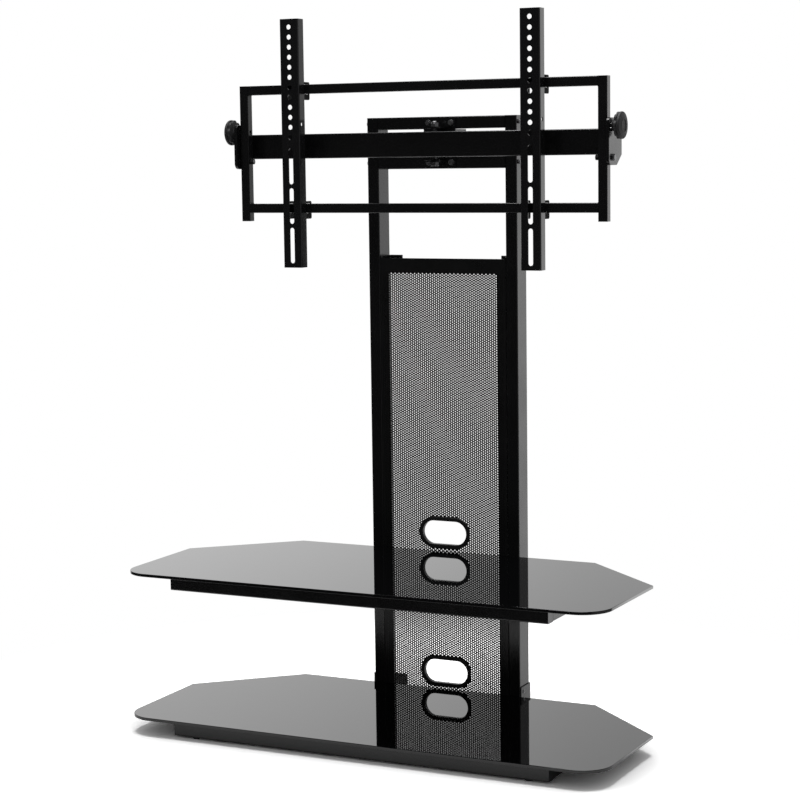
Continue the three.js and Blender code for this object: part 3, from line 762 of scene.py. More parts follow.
rim_round = 0.0016
rim_depth = 0.003
rim_edge = 0.0003
for level in ("lower", "upper"):
    low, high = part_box(f"{level}_grommet")
    centre_z = middle_of(f"{level}_grommet").z
    reach = (high.z - low.z) / 2
    opening = reach - rim_width
    face = low.y
    section = [(opening, high.y), (opening + sleeve_wall, high.y)]
    section += [(opening + sleeve_wall, face + rim_depth), (reach, face + rim_depth)]
    section += arc((reach - rim_round, face + rim_round), rim_round, 0, -90, 5)
    section += arc((opening + rim_round, face + rim_round), rim_round, -90, -180, 5)
    rows = []
    for centre, across, up in oblong_path(sleeve_straight, 24):
        rows.append([Vector((centre + out * across, y, centre_z + out * up)) for out, y in section])
    rim = lofted(f"{level}_rim", rows, ring=True)
    fit(soften(rim, rim_edge, angle=60.0), f"{level}_grommet", moulded_black)
print("grommet opening:", round(2 * opening, 4), "high")

# %% [markdown]
# ## Folded strips
# The clips at the top of the panel and the straps round the posts are folded from flat strip.
# A fold has a small inside radius, and the outside radius is larger by the strip's thickness,
# which a bevel on a bent plate would miss. So the outline in plan is worked out from the middle
# line of the strip, one side at a time.

# %% Outline of a folded strip
strip_thickness = 0.0025
fold_radius = 0.0012


def shifted_line(line, shift):
    """The line moved sideways, its corners kept sharp."""
    points = []
    for index, spot in enumerate(line):
        before = line[max(index - 1, 0)]
        after = line[min(index + 1, len(line) - 1)]
        normals = []
        for start, end in ((before, spot), (spot, after)):
            step = Vector((end[0] - start[0], end[1] - start[1]))
            if step.length > 1e-9:
                normals.append(Vector((-step.y, step.x)).normalized())
        mean = sum(normals, Vector((0, 0))) / len(normals)
        points.append(Vector(spot) + mean * (shift / mean.length_squared))
    return points


def folded_outline(line, thickness, inside):
    """A closed outline round a line, with round folds."""
    outline = []
    for side, path in ((1, line), (-1, line[::-1])):
        edge = shifted_line(path, thickness / 2)
        outline.append(tuple(edge[0]))
        for before, spot, after in zip(edge, edge[1:], edge[2:]):
            back, ahead = (before - spot).normalized(), (after - spot).normalized()
            bend = (-back).cross(ahead)
            radius = inside if bend > 0 else inside + thickness
            half = math.acos(max(-1.0, min(1.0, back.dot(ahead)))) / 2
            run = radius / math.tan(half)
            centre = spot + (back + ahead).normalized() * (radius / math.sin(half))
            start, end = spot + back * run - centre, spot + ahead * run - centre
            first = math.degrees(math.atan2(start.y, start.x))
            turn = math.degrees(start.angle_signed(end)) * -1
            outline += arc(centre, radius, first, first + turn, 6)
        outline.append(tuple(edge[-1]))
    return outline


print("outside radius of a fold:", round(fold_radius + strip_thickness, 4))

# %% [markdown]
# A clip holds each top corner of the panel. Its strip runs outward along the back and turns
# forward once, so three points give its middle line. The plan is then drawn out to the strip's
# height, which keeps the fold upright.

# %% Clips of the panel
def folded_strip(node):
    """A strip in the box of a node, folded once: outward along the back, then forward."""
    low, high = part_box(node)
    sign = math.copysign(1, middle_of(node).x)
    inner, outer = side_reach(node)
    corner = (outer - strip_thickness / 2, high.y - strip_thickness / 2)
    line = [(inner, corner[1]), corner, (corner[0], low.y)]
    outline = [(sign * x, y) for x, y in folded_outline(line, strip_thickness, fold_radius)]
    laid = Matrix.Translation((0, 0, (low.z + high.z) / 2))
    return plate(node + "_strip", [outline], high.z - low.z, saw_edge, laid)


for side in ("left", "right"):
    node = f"{side}_panel_clip"
    clip = fit(folded_strip(node), node, tube_coat)
    print(clip.name, "faces:", len(clip.data.polygons))

# %% [markdown]
# Each strap at a post's foot is folded the same way: a plate on the outer face, and a lower one
# that runs inward behind the post. The step between the two heights is sawn out of the folded
# strip with a boolean, as the fold can't be drawn with two heights at once.

# %% Straps with a sawn step
strap_step = 0.010
sawn_past = 0.020
for side, sign in (("left", -1), ("right", 1)):
    node = f"{side}_post_strap"
    low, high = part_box(node)
    inner, outer = side_reach(node)
    strip = settled(folded_strip(node))
    fold_start = outer - strip_thickness - fold_radius
    sawn = []
    for x, z in ((inner - sawn_past, high.z - strap_step), (fold_start, high.z - strap_step),
                 (fold_start, high.z + sawn_past), (inner - sawn_past, high.z + sawn_past)):
        sawn.append((sign * x, z))
    rows = [[Vector((x, y, z)) for x, z in sawn] for y in (high.y - sawn_past, high.y + sawn_past)]
    carve(strip, [lofted("cutter", rows, caps=True)])
    fit(strip, node, tube_coat)
    print(strip.name, "faces:", len(strip.data.polygons))

# %% [markdown]
# ## Swivel plate and yoke
# These brackets are cut and welded from flat plate. The part's own shapes hold every hole and
# ear, so they are copied, their flat faces joined up, and their edges softened.

# %% Brackets of the swivel
for node, rounding in (("swivel_plate", 0.0011), ("swivel_yoke", 0.0006)):
    fit(copied(node, rounding), node, tube_coat)
    print(node, "rounding:", rounding)

# %% [markdown]
# ## Tilt plates
# A tilt plate hangs at each end of the beam. Its curved slot follows the knob's stud as the
# television tilts, so the slot is an arc round the pivot, with round ends. The slot and the
# pivot's hole are drawn as inner loops of one flat outline, which gives cleaner rims than
# cutting them out of a finished plate. The length of the arc comes from the part's own range
# of tilt.

# %% A curved slot
def curved_slot(radius, half, first, last):
    """A slot along an arc round the origin, with round ends."""
    loop = arc((0, 0), radius + half, first, last, 10)
    for angle, start in ((last, last), (first, first + 180)):
        turn = math.radians(angle)
        centre = (radius * math.cos(turn), radius * math.sin(turn))
        loop += arc(centre, half, start, start + 180, 10)[1:]
        if angle == last:
            loop += arc((0, 0), radius - half, last, first, 10)[1:]
    return loop[:-1]


tilt_range = next(j["range_deg"] for j in frame["joints"] if j["name"] == "mount_tilt")
print("the slot spans", tilt_range[1] - tilt_range[0], "degrees")

# %% [markdown]
# The plate's back corners are cut off straight and its front ones are rounded. The outline is
# drawn from the pivot, so that the hole lies at its origin and the slot runs round it.

# %% Tilt plates
plate_top_round = 0.010
plate_bottom_round = 0.012
plate_top_chamfer = 0.030
plate_chamfer = (0.027, 0.020)
slot_half = 0.0047
plate_hole = 0.0043
hole_sides = 36
plate_edge = 0.0008
for side in ("left", "right"):
    node = f"{side}_tilt_plate"
    low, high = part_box(node)
    pivot = middle_of(f"{side}_pivot_bolt")
    stud = middle_of(f"{side}_knob")
    back, front = high.y - pivot.y, low.y - pivot.y
    top, bottom = high.z - pivot.z, low.z - pivot.z
    outline = [(back - plate_chamfer[0], bottom), (back, bottom + plate_chamfer[1])]
    outline += [(back, top - plate_top_chamfer), (back - plate_top_chamfer, top)]
    outline += arc((front + plate_top_round, top - plate_top_round), plate_top_round, 90, 180, 10)
    corner = (front + plate_bottom_round, bottom + plate_bottom_round)
    outline += arc(corner, plate_bottom_round, 180, 270, 12)
    slot = curved_slot(stud.z - pivot.z, slot_half, 90 + tilt_range[0], 90 + tilt_range[1])
    hole = circle((0, 0), plate_hole, hole_sides)
    laid = Matrix.Translation(((low.x + high.x) / 2, pivot.y, pivot.z)) @ axis_turns[0]
    made = plate(node + "_cut", [outline, slot, hole], high.x - low.x, plate_edge, laid)
    fit(made, node, tube_coat)
print("slot follows the stud at", round(stud.z - pivot.z, 4), "from the pivot")

# %% [markdown]
# ## Bolts and nuts
# Hexagon heads have a flat top that is turned off to a circle, so each corner ends in a small
# curved chamfer. A six-sided prism with a bevel would lack that curve. So a head is made like
# a turned shape whose radius changes round the axis, and the height of its chamfer follows
# from how far the corner stands out past the circle. Shanks and washers are plain turned
# shapes, and the thread is left off, because it is hidden in the holes.

# %% Turned shapes
turned_edge = 0.0002


def turned(profile, along, middle, sign, steps=36):
    """Rows for a turned shape: pairs of distance along the axis and radius."""
    turn = axis_turns[along]
    rows = []
    for reach, radius in profile:
        ring = []
        for step in range(steps):
            angle = 2 * math.pi * step / steps
            spot = radius(angle, reach) if callable(radius) else (radius, reach)
            ring.append(middle + turn @ Vector((
                spot[0] * math.cos(angle), spot[0] * math.sin(angle), sign * spot[1])))
        rows.append(ring)
    return rows


def shank_profile(radius, end):
    """A shank from its chamfered tip to the seat at zero."""
    tip = 0.2 * radius
    return [(end, radius - tip), (end + tip, radius), (0.0, radius)]


def turned_piece(name, rows, ring=False):
    """A turned shape with its edges softened: capped, or closed into a ring round its hole."""
    return soften(lofted(name, rows, ring, not ring), turned_edge, angle=40.0)


print("edge left by turning:", turned_edge)

# %% [markdown]
# The hexagon is a function of the angle. At each point of a row it gives the radius of the
# flat there, and it lowers the top where the chamfer's cone is lower. Bolts and nuts share it,
# so all of them look as if they came from one box.

# %% Hexagon heads and nuts
top_share = 0.97
chamfer_slope = math.tan(math.radians(30))


def hexagon(flat, top):
    """Radius and height on a hexagon head whose top is turned off near the flats."""
    def place(angle, reach):
        within = angle % (math.pi / 3) - math.pi / 6
        radius = flat / math.cos(within)
        return radius, min(reach, top - (radius - top_share * flat) * chamfer_slope)
    return place


def bolt_rows(flat, height, shank, length, along, seat, sign):
    """A hexagon head on its seat, with a shank that runs back from it."""
    side = hexagon(flat, height)
    profile = shank_profile(shank, -length)
    profile += [(0.0, side), (height, side), (height, top_share * flat), (height, 0.5 * flat)]
    return turned(profile, along, seat, sign)


def nut_rows(flat, height, hole, along, seat, sign):
    """A hexagon nut round its hole."""
    side = hexagon(flat, height)
    profile = [(0.0, hole), (0.0, side), (height, side), (height, top_share * flat), (height, hole)]
    return turned(profile, along, seat, sign)


print("a corner stands out past the flats by a share of", round(1 / math.cos(math.pi / 6) - 1, 3))

# %% [markdown]
# Each crossbar is held by a bolt through each post, and the swivel plate by four bolts with
# washers. A washer and its bolt are one node of the part. Two pieces could stand for one node,
# but one piece is easier to move, so their meshes are joined once their bevels are settled.

# %% Several meshes as one piece
def joined(name, pieces):
    """Several pieces with settled modifiers as one object."""
    shape = bmesh.new()
    for piece in pieces:
        settled(piece)
        shape.from_mesh(piece.data)
        bpy.data.objects.remove(piece)
    mesh = bpy.data.meshes.new(name)
    shape.to_mesh(mesh)
    shape.free()
    return linked(name, mesh)


print("helper for pieces of several meshes: joined")

# %% [markdown]
# The heads of the post bolts rest on the posts' outer faces, and the washers on the swivel
# plate's front. Each seat is worked out from those faces, so no head floats or sinks in.

# %% Bolts of the crossbars and the swivel plate
small_flat = 0.0043
small_shank = 0.003
washer_height = 0.001
washer_hole = 0.0045
washer_radius = 0.0063
swivel_plate_thickness = 0.003
for side, sign in (("left", -1), ("right", 1)):
    for level in ("upper", "lower"):
        node = f"{side}_{level}_post_bolt"
        middle = middle_of(node)
        tip, top = side_reach(node)
        post_face = side_reach(f"{side}_post")[1]
        seat = Vector((sign * post_face, middle.y, middle.z))
        rows = bolt_rows(small_flat, top - post_face, small_shank, post_face - tip, 0, seat, sign)
        fit(turned_piece(node + "_head", rows), node, plated_bolt)

        node = f"{side}_{level}_plate_bolt"
        low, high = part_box(node)
        middle = middle_of(node)
        seat_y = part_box("left_post")[0].y - swivel_plate_thickness
        profile = [(0.0, washer_hole), (0.0, washer_radius)]
        profile += [(washer_height, washer_radius), (washer_height, washer_hole)]
        washer = turned_piece("washer", turned(profile, 1, Vector((middle.x, seat_y, middle.z)), 1))
        seat = Vector((middle.x, seat_y - washer_height, middle.z))
        rows = bolt_rows(small_flat, seat.y - low.y, small_shank, high.y - seat.y, 1, seat, 1)
        head = turned_piece("head", rows)
        fit(joined(node + "_set", [washer, head]), node, plated_bolt)
    print(side, "post bolt stands out", round(top - post_face, 4))

# %% [markdown]
# A flat round screw with a crossed recess holds each strap to its post. It is too small to be
# a node of the part, so it is an extra piece that rides with the strap's body. The two slots
# of the cross are cut one after the other, because one boolean with both, which cross each
# other, left an empty mesh.

# %% Screws of the straps
strap_screw_radius = 0.0042
strap_screw_height = 0.0017
strap_screw_back = 0.012
strap_screw_above = 0.008
cross_long = 0.0022
cross_wide = 0.00045
screw_rows = [(-0.5, 1.0), (0.3, 1.0), (0.75, 0.8), (1.0, 0.4)]
for side, sign in (("left", -1), ("right", 1)):
    node = f"{side}_post_strap"
    place = Vector((sign * side_reach(node)[1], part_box(node)[0].y + strap_screw_back, 0.0))
    place.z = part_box("lower_glass")[1].z + strap_screw_above
    rise = strap_screw_height
    profile = [(lift * rise, share * strap_screw_radius) for lift, share in screw_rows]
    screw = settled(turned_piece(f"{side}_strap_screw", turned(profile, 0, place, sign)))
    for wide, tall in ((cross_long, cross_wide), (cross_wide, cross_long)):
        loop = [(-wide, -tall), (wide, -tall), (wide, tall), (-wide, tall)]
        carve(screw, [prism(loop, rise, 0, place + Vector((sign * rise, 0, 0)))])
    dress(screw, body_of_node[node], plated_bolt)
    print(screw.name, "faces:", len(screw.data.polygons))

# %% [markdown]
# The mount turns on one long upright bolt, with its head below and a nut on top. It uses the
# same head and nut as the small bolts, at its own size.

# %% Swivel bolt and its nut
swivel_shank = 0.005
swivel_hole = 0.0052
nut_reach = 0.0085
low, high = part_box("swivel_bolt")
middle = middle_of("swivel_bolt")
nut_low, nut_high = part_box("swivel_nut")
nut_flat = nut_reach * math.cos(math.pi / 6)
head_height = nut_high.z - nut_low.z
seat = Vector((middle.x, middle.y, low.z + head_height))
rows = bolt_rows(nut_flat, head_height, swivel_shank, high.z - seat.z, 2, seat, -1)
fit(turned_piece("swivel_bolt_made", rows), "swivel_bolt", plated_bolt)
seat = Vector((middle.x, middle.y, nut_low.z))
rows = nut_rows(nut_flat, head_height, swivel_hole, 2, seat, 1)
fit(turned_piece("swivel_nut_made", rows, True), "swivel_nut", plated_bolt)
print("swivel bolt length:", round(high.z - low.z, 4))

# %% [markdown]
# The pivot bolts have round heads with a narrow chamfer round a flat face. The face catches the
# light while the head's side stays dark. The bolt is a row of circles along its axis, up the
# outside of the shank and over the head.

# %% Pivot bolts and their nuts
pivot_head = 0.0066
pivot_disc = 0.0054
pivot_shank = 0.004
pivot_edge = 0.00015
nut_clearance = 0.0002
for side, sign in (("left", -1), ("right", 1)):
    node = f"{side}_pivot_bolt"
    tip, top = side_reach(node)
    plate_face = side_reach(f"{side}_tilt_plate")[1]
    reach = top - plate_face
    centre = middle_of(node)
    seat = Vector((sign * plate_face, centre.y, centre.z))
    profile = shank_profile(pivot_shank, tip - plate_face)
    profile += [(0.0, pivot_head), (0.75 * reach, pivot_head)]
    profile += [(reach, pivot_disc), (reach, 0.5 * pivot_disc)]
    bolt = lofted(node + "_made", turned(profile, 0, seat, sign), caps=True)
    fit(soften(bolt, pivot_edge, angle=15.0), node, plated_bolt)
    print(node, "head stands out", round(reach, 4))

    node = f"{side}_pivot_nut"
    low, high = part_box(node)
    flat = (high.z - low.z) / 2 * math.cos(math.pi / 6)
    height = high.x - low.x
    seat = middle_of(node) + Vector((sign * height / 2, 0, 0))
    rows = nut_rows(flat, height, pivot_shank + nut_clearance, 0, seat, -sign)
    # The nuts wear the duller black, a painted shade that makes them darker.
    fit(turned_piece(node + "_made", rows, True), node, shade_dulled_black)
    print(node, "height:", round(height, 4))

# %% [markdown]
# ## Lock knobs
# A knob is moulded in one piece: a hub that presses on the tilt plate, a grip with eight lobes
# and narrow flutes between them, a groove, and a round cap with a raised ring on its face.
# Flutes cut with booleans would leave sharp lines in a moulding. So the knob is turned like a
# bowl, and a cosine round the grip draws the flutes in. Raising the cosine to a power keeps the
# flutes narrow and the lobes wide. Distances along the axis are measured from the hub's end.

# %% Fluted grip
lobe_count = 8
flute_depth = 0.0030
flute_power = 2.0
grip_inset = 0.0005
grip_round = 0.0016
grip_length = 0.0054


def fluted(radius):
    """Radius of a row of the grip, drawn in at the flutes."""
    def place(angle, reach):
        share = ((1 - math.cos(lobe_count * angle)) / 2) ** flute_power
        return radius - share * flute_depth, reach
    return place


def grip_rows(start, rim):
    """Rows over the grip, from its rounded back to its front edge."""
    radius = rim - grip_inset
    section = arc((start + grip_round, radius - grip_round), grip_round, 165, 90, 6)
    end = start + grip_length
    section += arc((end - grip_round / 2, radius - grip_round / 2), grip_round / 2, 90, 0, 4)
    rows = [(start, fluted(radius - 1.1 * grip_round))]
    return rows + [(reach, fluted(across)) for reach, across in section]


print("flutes round the grip:", lobe_count, "each", flute_depth, "deep")

# %% [markdown]
# The cap stands past a narrow groove. Its corner is rounded, its face rises to a raised ring,
# and inside the ring it is dished. All of it is round, so it is a plain profile, from the
# groove to the middle of the face.

# %% Cap of a knob
groove_depth = 0.0034
groove_width = 0.0012
cap_round = 0.0026
cap_foot = 0.0158
ring_radius = 0.0130
ring_half = 0.0008
ring_shape = [(-0.5, 1.0), (0.0, 0.4), (0.0, -0.4), (-0.5, -1.0)]
dimple_depth = 0.0012
dimple_radius = 0.0112
face_middle = 0.0060


def cap_rows(start, rim, rim_face, face):
    """Rows over the groove and the cap, to the middle of its face."""
    cap_start = start + groove_width
    rows = [(start, rim - groove_depth), (cap_start, rim - groove_depth)]
    rows += arc((cap_start + cap_round / 2, rim - cap_round / 2), cap_round / 2, 180, 90, 4)
    rows += arc((rim_face - cap_round, rim - cap_round), cap_round, 90, 12, 6)
    rise = face - rim_face
    rows += [(rim_face + 0.15 * rise, rim - 1.8 * cap_round), (rim_face + 0.6 * rise, cap_foot)]
    rows += [(face + lift * ring_half, ring_radius + out * ring_half) for lift, out in ring_shape]
    return rows + [(face - dimple_depth, dimple_radius), (face - dimple_depth, face_middle)]


print("ring on the cap's face:", ring_radius, "in radius")

# %% [markdown]
# The stud, the hub, the grip and the cap follow each other along one axis. The knob's own box
# says where the stud ends and where the face lies, and the hub starts just off the tilt plate.

# %% Two lock knobs
hub_radius = 0.011
hub_length = 0.0087
hub_gap = 0.0003
hub_shape = [(0.0, 0.95), (0.05, 1.0), (0.70, 1.0), (0.85, 1.15), (0.95, 1.5)]
rim_thickness = 0.0124
stud_radius = 0.0038
knob_edge = 0.0003
knob_steps = 192
for side, sign in (("left", -1), ("right", 1)):
    node = f"{side}_knob"
    low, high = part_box(node)
    middle = middle_of(node)
    rim = (high.z - low.z) / 2
    hub_end = side_reach(f"{side}_tilt_plate")[1] + hub_gap
    stud_end, face = [reach - hub_end for reach in side_reach(node)]
    profile = shank_profile(stud_radius, stud_end)
    profile += [(lift * hub_length, share * hub_radius) for lift, share in hub_shape]
    profile += grip_rows(hub_length, rim)
    profile += cap_rows(hub_length + grip_length, rim, hub_length + rim_thickness, face)
    seat = Vector((sign * hub_end, middle.y, middle.z))
    knob = lofted(f"{side}_lobed_knob", turned(profile, 0, seat, sign, knob_steps), caps=True)
    fit(soften(knob, knob_edge, angle=55.0), node, knob_black)
print("knob radius:", round(rim, 4), "and its face", round(face, 4), "from the hub's end")

# %% [markdown]
# ## Television arms
# Each arm is a channel folded from sheet: a face with holes and slots for the television's
# bolts, two sides that run back, and eyes in the sides that slide along the bars. A bevelled
# box would give the folds one radius inside and out. So the section of the channel is drawn
# with its folds, and then drawn out to the arm's length.

# %% Section of an arm
arm_wall = 0.0025
arm_fold = 0.0040
channel_depth = 0.024


def channel_loop(half, front, back):
    """The folded section of an arm, from above."""
    inside = arm_fold - arm_wall
    loop = [(-half, back)]
    loop += arc((-half + arm_fold, front + arm_fold), arm_fold, 180, 270, 6)
    loop += arc((half - arm_fold, front + arm_fold), arm_fold, 270, 360, 6)
    loop += [(half, back), (half - arm_wall, back)]
    loop += arc((half - arm_fold, front + arm_fold), inside, 360, 270, 6)
    loop += arc((-half + arm_fold, front + arm_fold), inside, 270, 180, 6)
    loop += [(-half + arm_wall, back)]
    return loop


print("inside radius of an arm's folds:", round(arm_fold - arm_wall, 4))

# %% [markdown]
# The face has twelve round holes in its upper part and three long slots in its lower part. They
# could be inner loops of a flat plate, as in the tilt plates, but the face is part of a folded
# channel. So each gets a cutter, placed in even steps by a loop.

# %% Holes and slots of an arm
hole_count = 12
hole_step = 0.020
first_hole = 0.0163
mount_hole = 0.005
slot_count = 3
slot_long = 0.072
slot_step = 0.080
slot_start = 0.009


def face_cutters(middle, low, high):
    """Cutters for the round holes, from the top down, and for the slots, from the bottom up."""
    cutters = []
    for index in range(hole_count):
        z = high.z - first_hole - index * hole_step
        cutters.append(round_cutter(mount_hole, 4 * arm_wall, 1, Vector((middle.x, low.y, z))))
    straight = slot_long / 2 - mount_hole
    oblong = arc((0, straight), mount_hole, 0, 180, 16)
    oblong += arc((0, -straight), mount_hole, 180, 360, 16)
    for index in range(slot_count):
        z = low.z + slot_start + slot_long / 2 + index * slot_step
        cutters.append(prism(oblong, 4 * arm_wall, 1, Vector((middle.x, low.y, z))))
    return cutters


print("holes in an arm:", hole_count, "and slots:", slot_count)

# %% [markdown]
# Behind the channel, each side has an eye round each bar. The eyes wear a duller, less glossy
# black than the arm, a painted shade that makes them darker than the arm's coat, so they are
# plates of their own, flush with the channel's sides. The windows are a little larger than the
# bars, and they are cut out of the channel too.

# %% Eyes round the bars
eye_above = 0.005
eye_below = 0.012
eye_round = 0.004
slide_gap = 0.0004
window_round = 0.0012


def round_plate(y_low, y_high, z_low, z_high, radius):
    """A rectangle in a side view with its back corners rounded."""
    loop = [(y_low, z_high), (y_low, z_low)]
    loop += arc((y_high - radius, z_low + radius), radius, 270, 360, 5)
    loop += arc((y_high - radius, z_high - radius), radius, 0, 90, 5)
    return loop


def windows_and_eyes(middle, half, start, end):
    """Cutters for the windows of both bars, and the eyes from a start to an end in depth."""
    windows = []
    eyes = []
    for bar in ("frame_top_bar", "frame_bottom_bar"):
        low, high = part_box(bar)
        size = high - low
        place = Vector((middle.x, middle_of(bar).y, middle_of(bar).z))
        window = round_rectangle(size.y + 2 * slide_gap, size.z + 2 * slide_gap, window_round)
        windows.append(prism(window, 3 * half, 0, place))
        side_view = round_plate(start, end, low.z - eye_below, high.z + eye_above, eye_round)
        for sign in (-1, 1):
            side_middle = Vector((middle.x + sign * (half - arm_wall / 2), 0, 0))
            eye = prism(side_view, arm_wall, 0, side_middle)
            eyes.append(carve(eye, [prism(window, 3 * half, 0, place)]))
    return windows, eyes


print("play of the bars in the eyes:", slide_gap)

# %% [markdown]
# The arms are alike, so one loop makes both, each in its own box. The softening comes last, so
# that the rims of all holes and windows catch a line of light.

# %% Two folded arms
side_hole_drop = 0.012
side_hole_radius = 0.004
arm_edge = 0.0004
eye_edge = 0.0003
side_hole_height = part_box("left_post")[1].z - side_hole_drop
for side in ("left", "right"):
    node = f"{side}_arm"
    low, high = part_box(node)
    middle = middle_of(node)
    half = (high.x - low.x) / 2
    back = low.y + channel_depth
    loop = [(middle.x + u, v) for u, v in channel_loop(half, low.y, back)]
    rows = [[Vector((x, y, z)) for x, y in loop] for z in (low.z, high.z)]
    channel = lofted(f"{node}_channel", rows, caps=True)
    cutters, eyes = windows_and_eyes(middle, half, back, high.y)
    cutters += face_cutters(middle, low, high)
    side_hole = Vector((middle.x, low.y + channel_depth / 2, side_hole_height))
    cutters.append(round_cutter(side_hole_radius, 3 * half, 0, side_hole, 24))
    carve(channel, cutters)
    fit(soften(channel, arm_edge, angle=40.0), node, arm_coat)
    both_eyes = soften(joined(f"{node}_eyes", eyes), eye_edge, angle=40.0)
    # The eyes wear the duller black, a painted shade that makes them darker than the arm.
    dress(both_eyes, body_of_node[node], shade_dulled_black)
    print(node, "faces:", len(channel.data.polygons) + len(both_eyes.data.polygons))

# %% [markdown]
# ## Welds
# The rails and bars are welded where they meet. A weld fills the inner corner with a small
# rippled bead. Ripples in a bump map would leave a sharp corner in outline, so each bead is a
# row of circles whose radius swells and shrinks.

# %% A rippled bead
ripple_step = 0.0016
ripple_height = 0.10
ripple_rows = 4
bead_sides = 12
end_share = 0.35
end_growth = 6


def bead(start, end, size):
    """A rippled bead of a size from a start to an end point."""
    line = end - start
    count = max(int(line.length / ripple_step) * ripple_rows, ripple_rows)
    across = line.normalized().orthogonal().normalized()
    up = line.normalized().cross(across)
    rows = []
    for step in range(count + 1):
        share = step / count
        swell = 1.0 + ripple_height * math.cos(share * line.length / ripple_step * 2 * math.pi)
        close = min(1.0, end_share + end_growth * min(share, 1 - share))
        centre = start + line * share
        ring = circle((0, 0), size * swell * close, bead_sides)
        rows.append([centre + across * u + up * v for u, v in ring])
    return lofted("bead", rows, caps=True)


print("length of a ripple:", ripple_step)

# %% [markdown]
# The beads run up both sides of a rail where it meets another, except where its side is flush
# with the end. The television frame has finer beads, because the arms' eyes slide up to 2 mm
# from its corners. All beads of one frame are one piece, which is easier to handle than many.

# %% Weld beads in the corners
weld_radius = 0.0022
frame_weld_radius = 0.0017
weld_inset = 0.002
flush_within = 0.001


def welds(name, body, lines, size):
    """All the beads of one welded frame as one piece."""
    made = joined(name, [bead(Vector(start), Vector(end), size) for start, end in lines])
    dress(made, body, tube_coat)
    print(name, "beads:", len(lines))


def upright_beads(node, places):
    """Lines for beads up the sides of a rail, at places along X."""
    low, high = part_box(node)
    bottom, top = low.z + weld_inset, high.z - weld_inset
    return [((x, y, bottom), (x, y, top)) for x in places for y in (low.y, high.y)]


lines = []
for bar in ("frame_top_bar", "frame_bottom_bar"):
    low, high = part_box(bar)
    for x in (low.x, high.x):
        z = low.z if bar == "frame_top_bar" else high.z
        lines.append(((x, low.y + weld_inset, z), (x, high.y - weld_inset, z)))
welds("frame_welds", body_of_node["frame_top_bar"], lines, frame_weld_radius)
for level in ("base", "shelf"):
    lines = []
    rail_end = side_reach(f"{level}_front_rail")[1]
    for side in ("left", "right"):
        low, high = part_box(f"{level}_{side}_rail")
        inside = [x for x in (low.x, high.x) if abs(x) < rail_end - flush_within]
        lines += upright_beads(f"{level}_{side}_rail", inside)
        low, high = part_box(f"{level}_{side}_bearer")
        lines += upright_beads(f"{level}_{side}_bearer", (low.x, high.x))
    welds(f"{level}_welds", body_of_node[f"{level}_front_rail"], lines, weld_radius)

# %% [markdown]
# ## The studio
# The photograph was taken before a white backdrop, with the dark of the studio behind the
# camera. Black gloss shows that: sides that mirror the backdrop look grey, and fronts that
# mirror the room stay black. White walls could stand round the scene, but they would also
# light the floor and could be seen by the camera. A world that looks at the kind of each ray
# has no such trouble. A few small functions keep its shader tree readable.

# %% Sums, mixes and greys in a shader tree
def combined(tree, operation, first, second):
    """Two values put through one kind of sum."""
    node = tree.nodes.new("ShaderNodeMath")
    node.operation = operation
    tree.links.new(first, node.inputs[0])
    tree.links.new(second, node.inputs[1])
    return node.outputs[0]


def mixed(tree, share, first, second):
    """A surface or a light that gives way to a second one by a share."""
    node = tree.nodes.new("ShaderNodeMixShader")
    for source, socket in zip((share, first, second), node.inputs):
        tree.links.new(source, socket)
    return node.outputs[0]


def ramp(tree, share, stops):
    """Greys over a share of a full turn, from degrees and levels."""
    node = tree.nodes.new("ShaderNodeValToRGB")
    elements = node.color_ramp.elements
    while len(elements) > 1:
        elements.remove(elements[-1])
    for index, (degrees, level) in enumerate(stops):
        place = (degrees + 180) / 360
        element = elements.new(place) if index else elements[0]
        element.position = place
        element.color = (level, level, level, 1.0)
    tree.links.new(share, node.inputs["Fac"])
    return node.outputs["Color"]


print("helpers for the studio: combined, mixed, ramp")

# %% [markdown]
# The backdrop is a band of greys by direction, zero degrees being behind the stand. It ends on
# both sides, where the room is dark. On the right it is low, so the post's side is darker where
# it is seen in the panes than where it is seen directly.

# %% Greys of the backdrop
backdrop_stops = [(-180, 0.02), (-75, 0.03), (-48, 0.75), (-33, 0.82), (-26, 0.67), (-20, 0.50),
                  (-14, 0.48), (0, 0.60), (14, 0.82), (22, 0.88), (26.5, 0.60), (28.6, 0.32),
                  (36, 0.13), (48, 0.15), (70, 0.22), (112, 0.22), (128, 0.03), (180, 0.02)]
low_side_stops = [(-180, 1.0), (6, 1.0), (14, 0.27), (36, 0.27), (44, 1.0), (180, 1.0)]
low_side_top = (0.08, 0.17)
world = bpy.data.worlds.new("studio")
bpy.context.scene.world = world
world.use_nodes = True
sky = world.node_tree
sky.nodes.clear()
sides = sky.nodes.new("ShaderNodeSeparateXYZ")
sky.links.new(sky.nodes.new("ShaderNodeTexCoord").outputs["Generated"], sides.inputs[0])
azimuth = combined(sky, "ARCTAN2", sides.outputs["X"], sides.outputs["Y"])
around = ranged(sky, azimuth, (-math.pi, math.pi))
lowered = sky.nodes.new("ShaderNodeMixRGB")
lowered.blend_type = "MULTIPLY"
sky.links.new(ranged(sky, sides.outputs["Z"], low_side_top, smooth=True), lowered.inputs["Fac"])
sky.links.new(ramp(sky, around, backdrop_stops), lowered.inputs["Color1"])
sky.links.new(ramp(sky, around, low_side_stops), lowered.inputs["Color2"])
print("brightest grey of the backdrop:", max(level for degrees, level in backdrop_stops))

# %% [markdown]
# The camera sees plain white, dull surfaces get an even light, and glossy ones mirror the
# backdrop, which also ends overhead. One strength for all three would either grey the picture's
# white or flood the black coats with light.

# %% Light of the world
plain_level = 0.40
backdrop_level = 1.6
backdrop_top = (0.40, 0.75)
ceiling_share = 0.10
white = (1.0, 1.0, 1.0, 1.0)


def plain_light(tree, level):
    """A white background of one strength."""
    node = tree.nodes.new("ShaderNodeBackground")
    node.inputs["Color"].default_value = white
    node.inputs["Strength"].default_value = level
    return node.outputs[0]


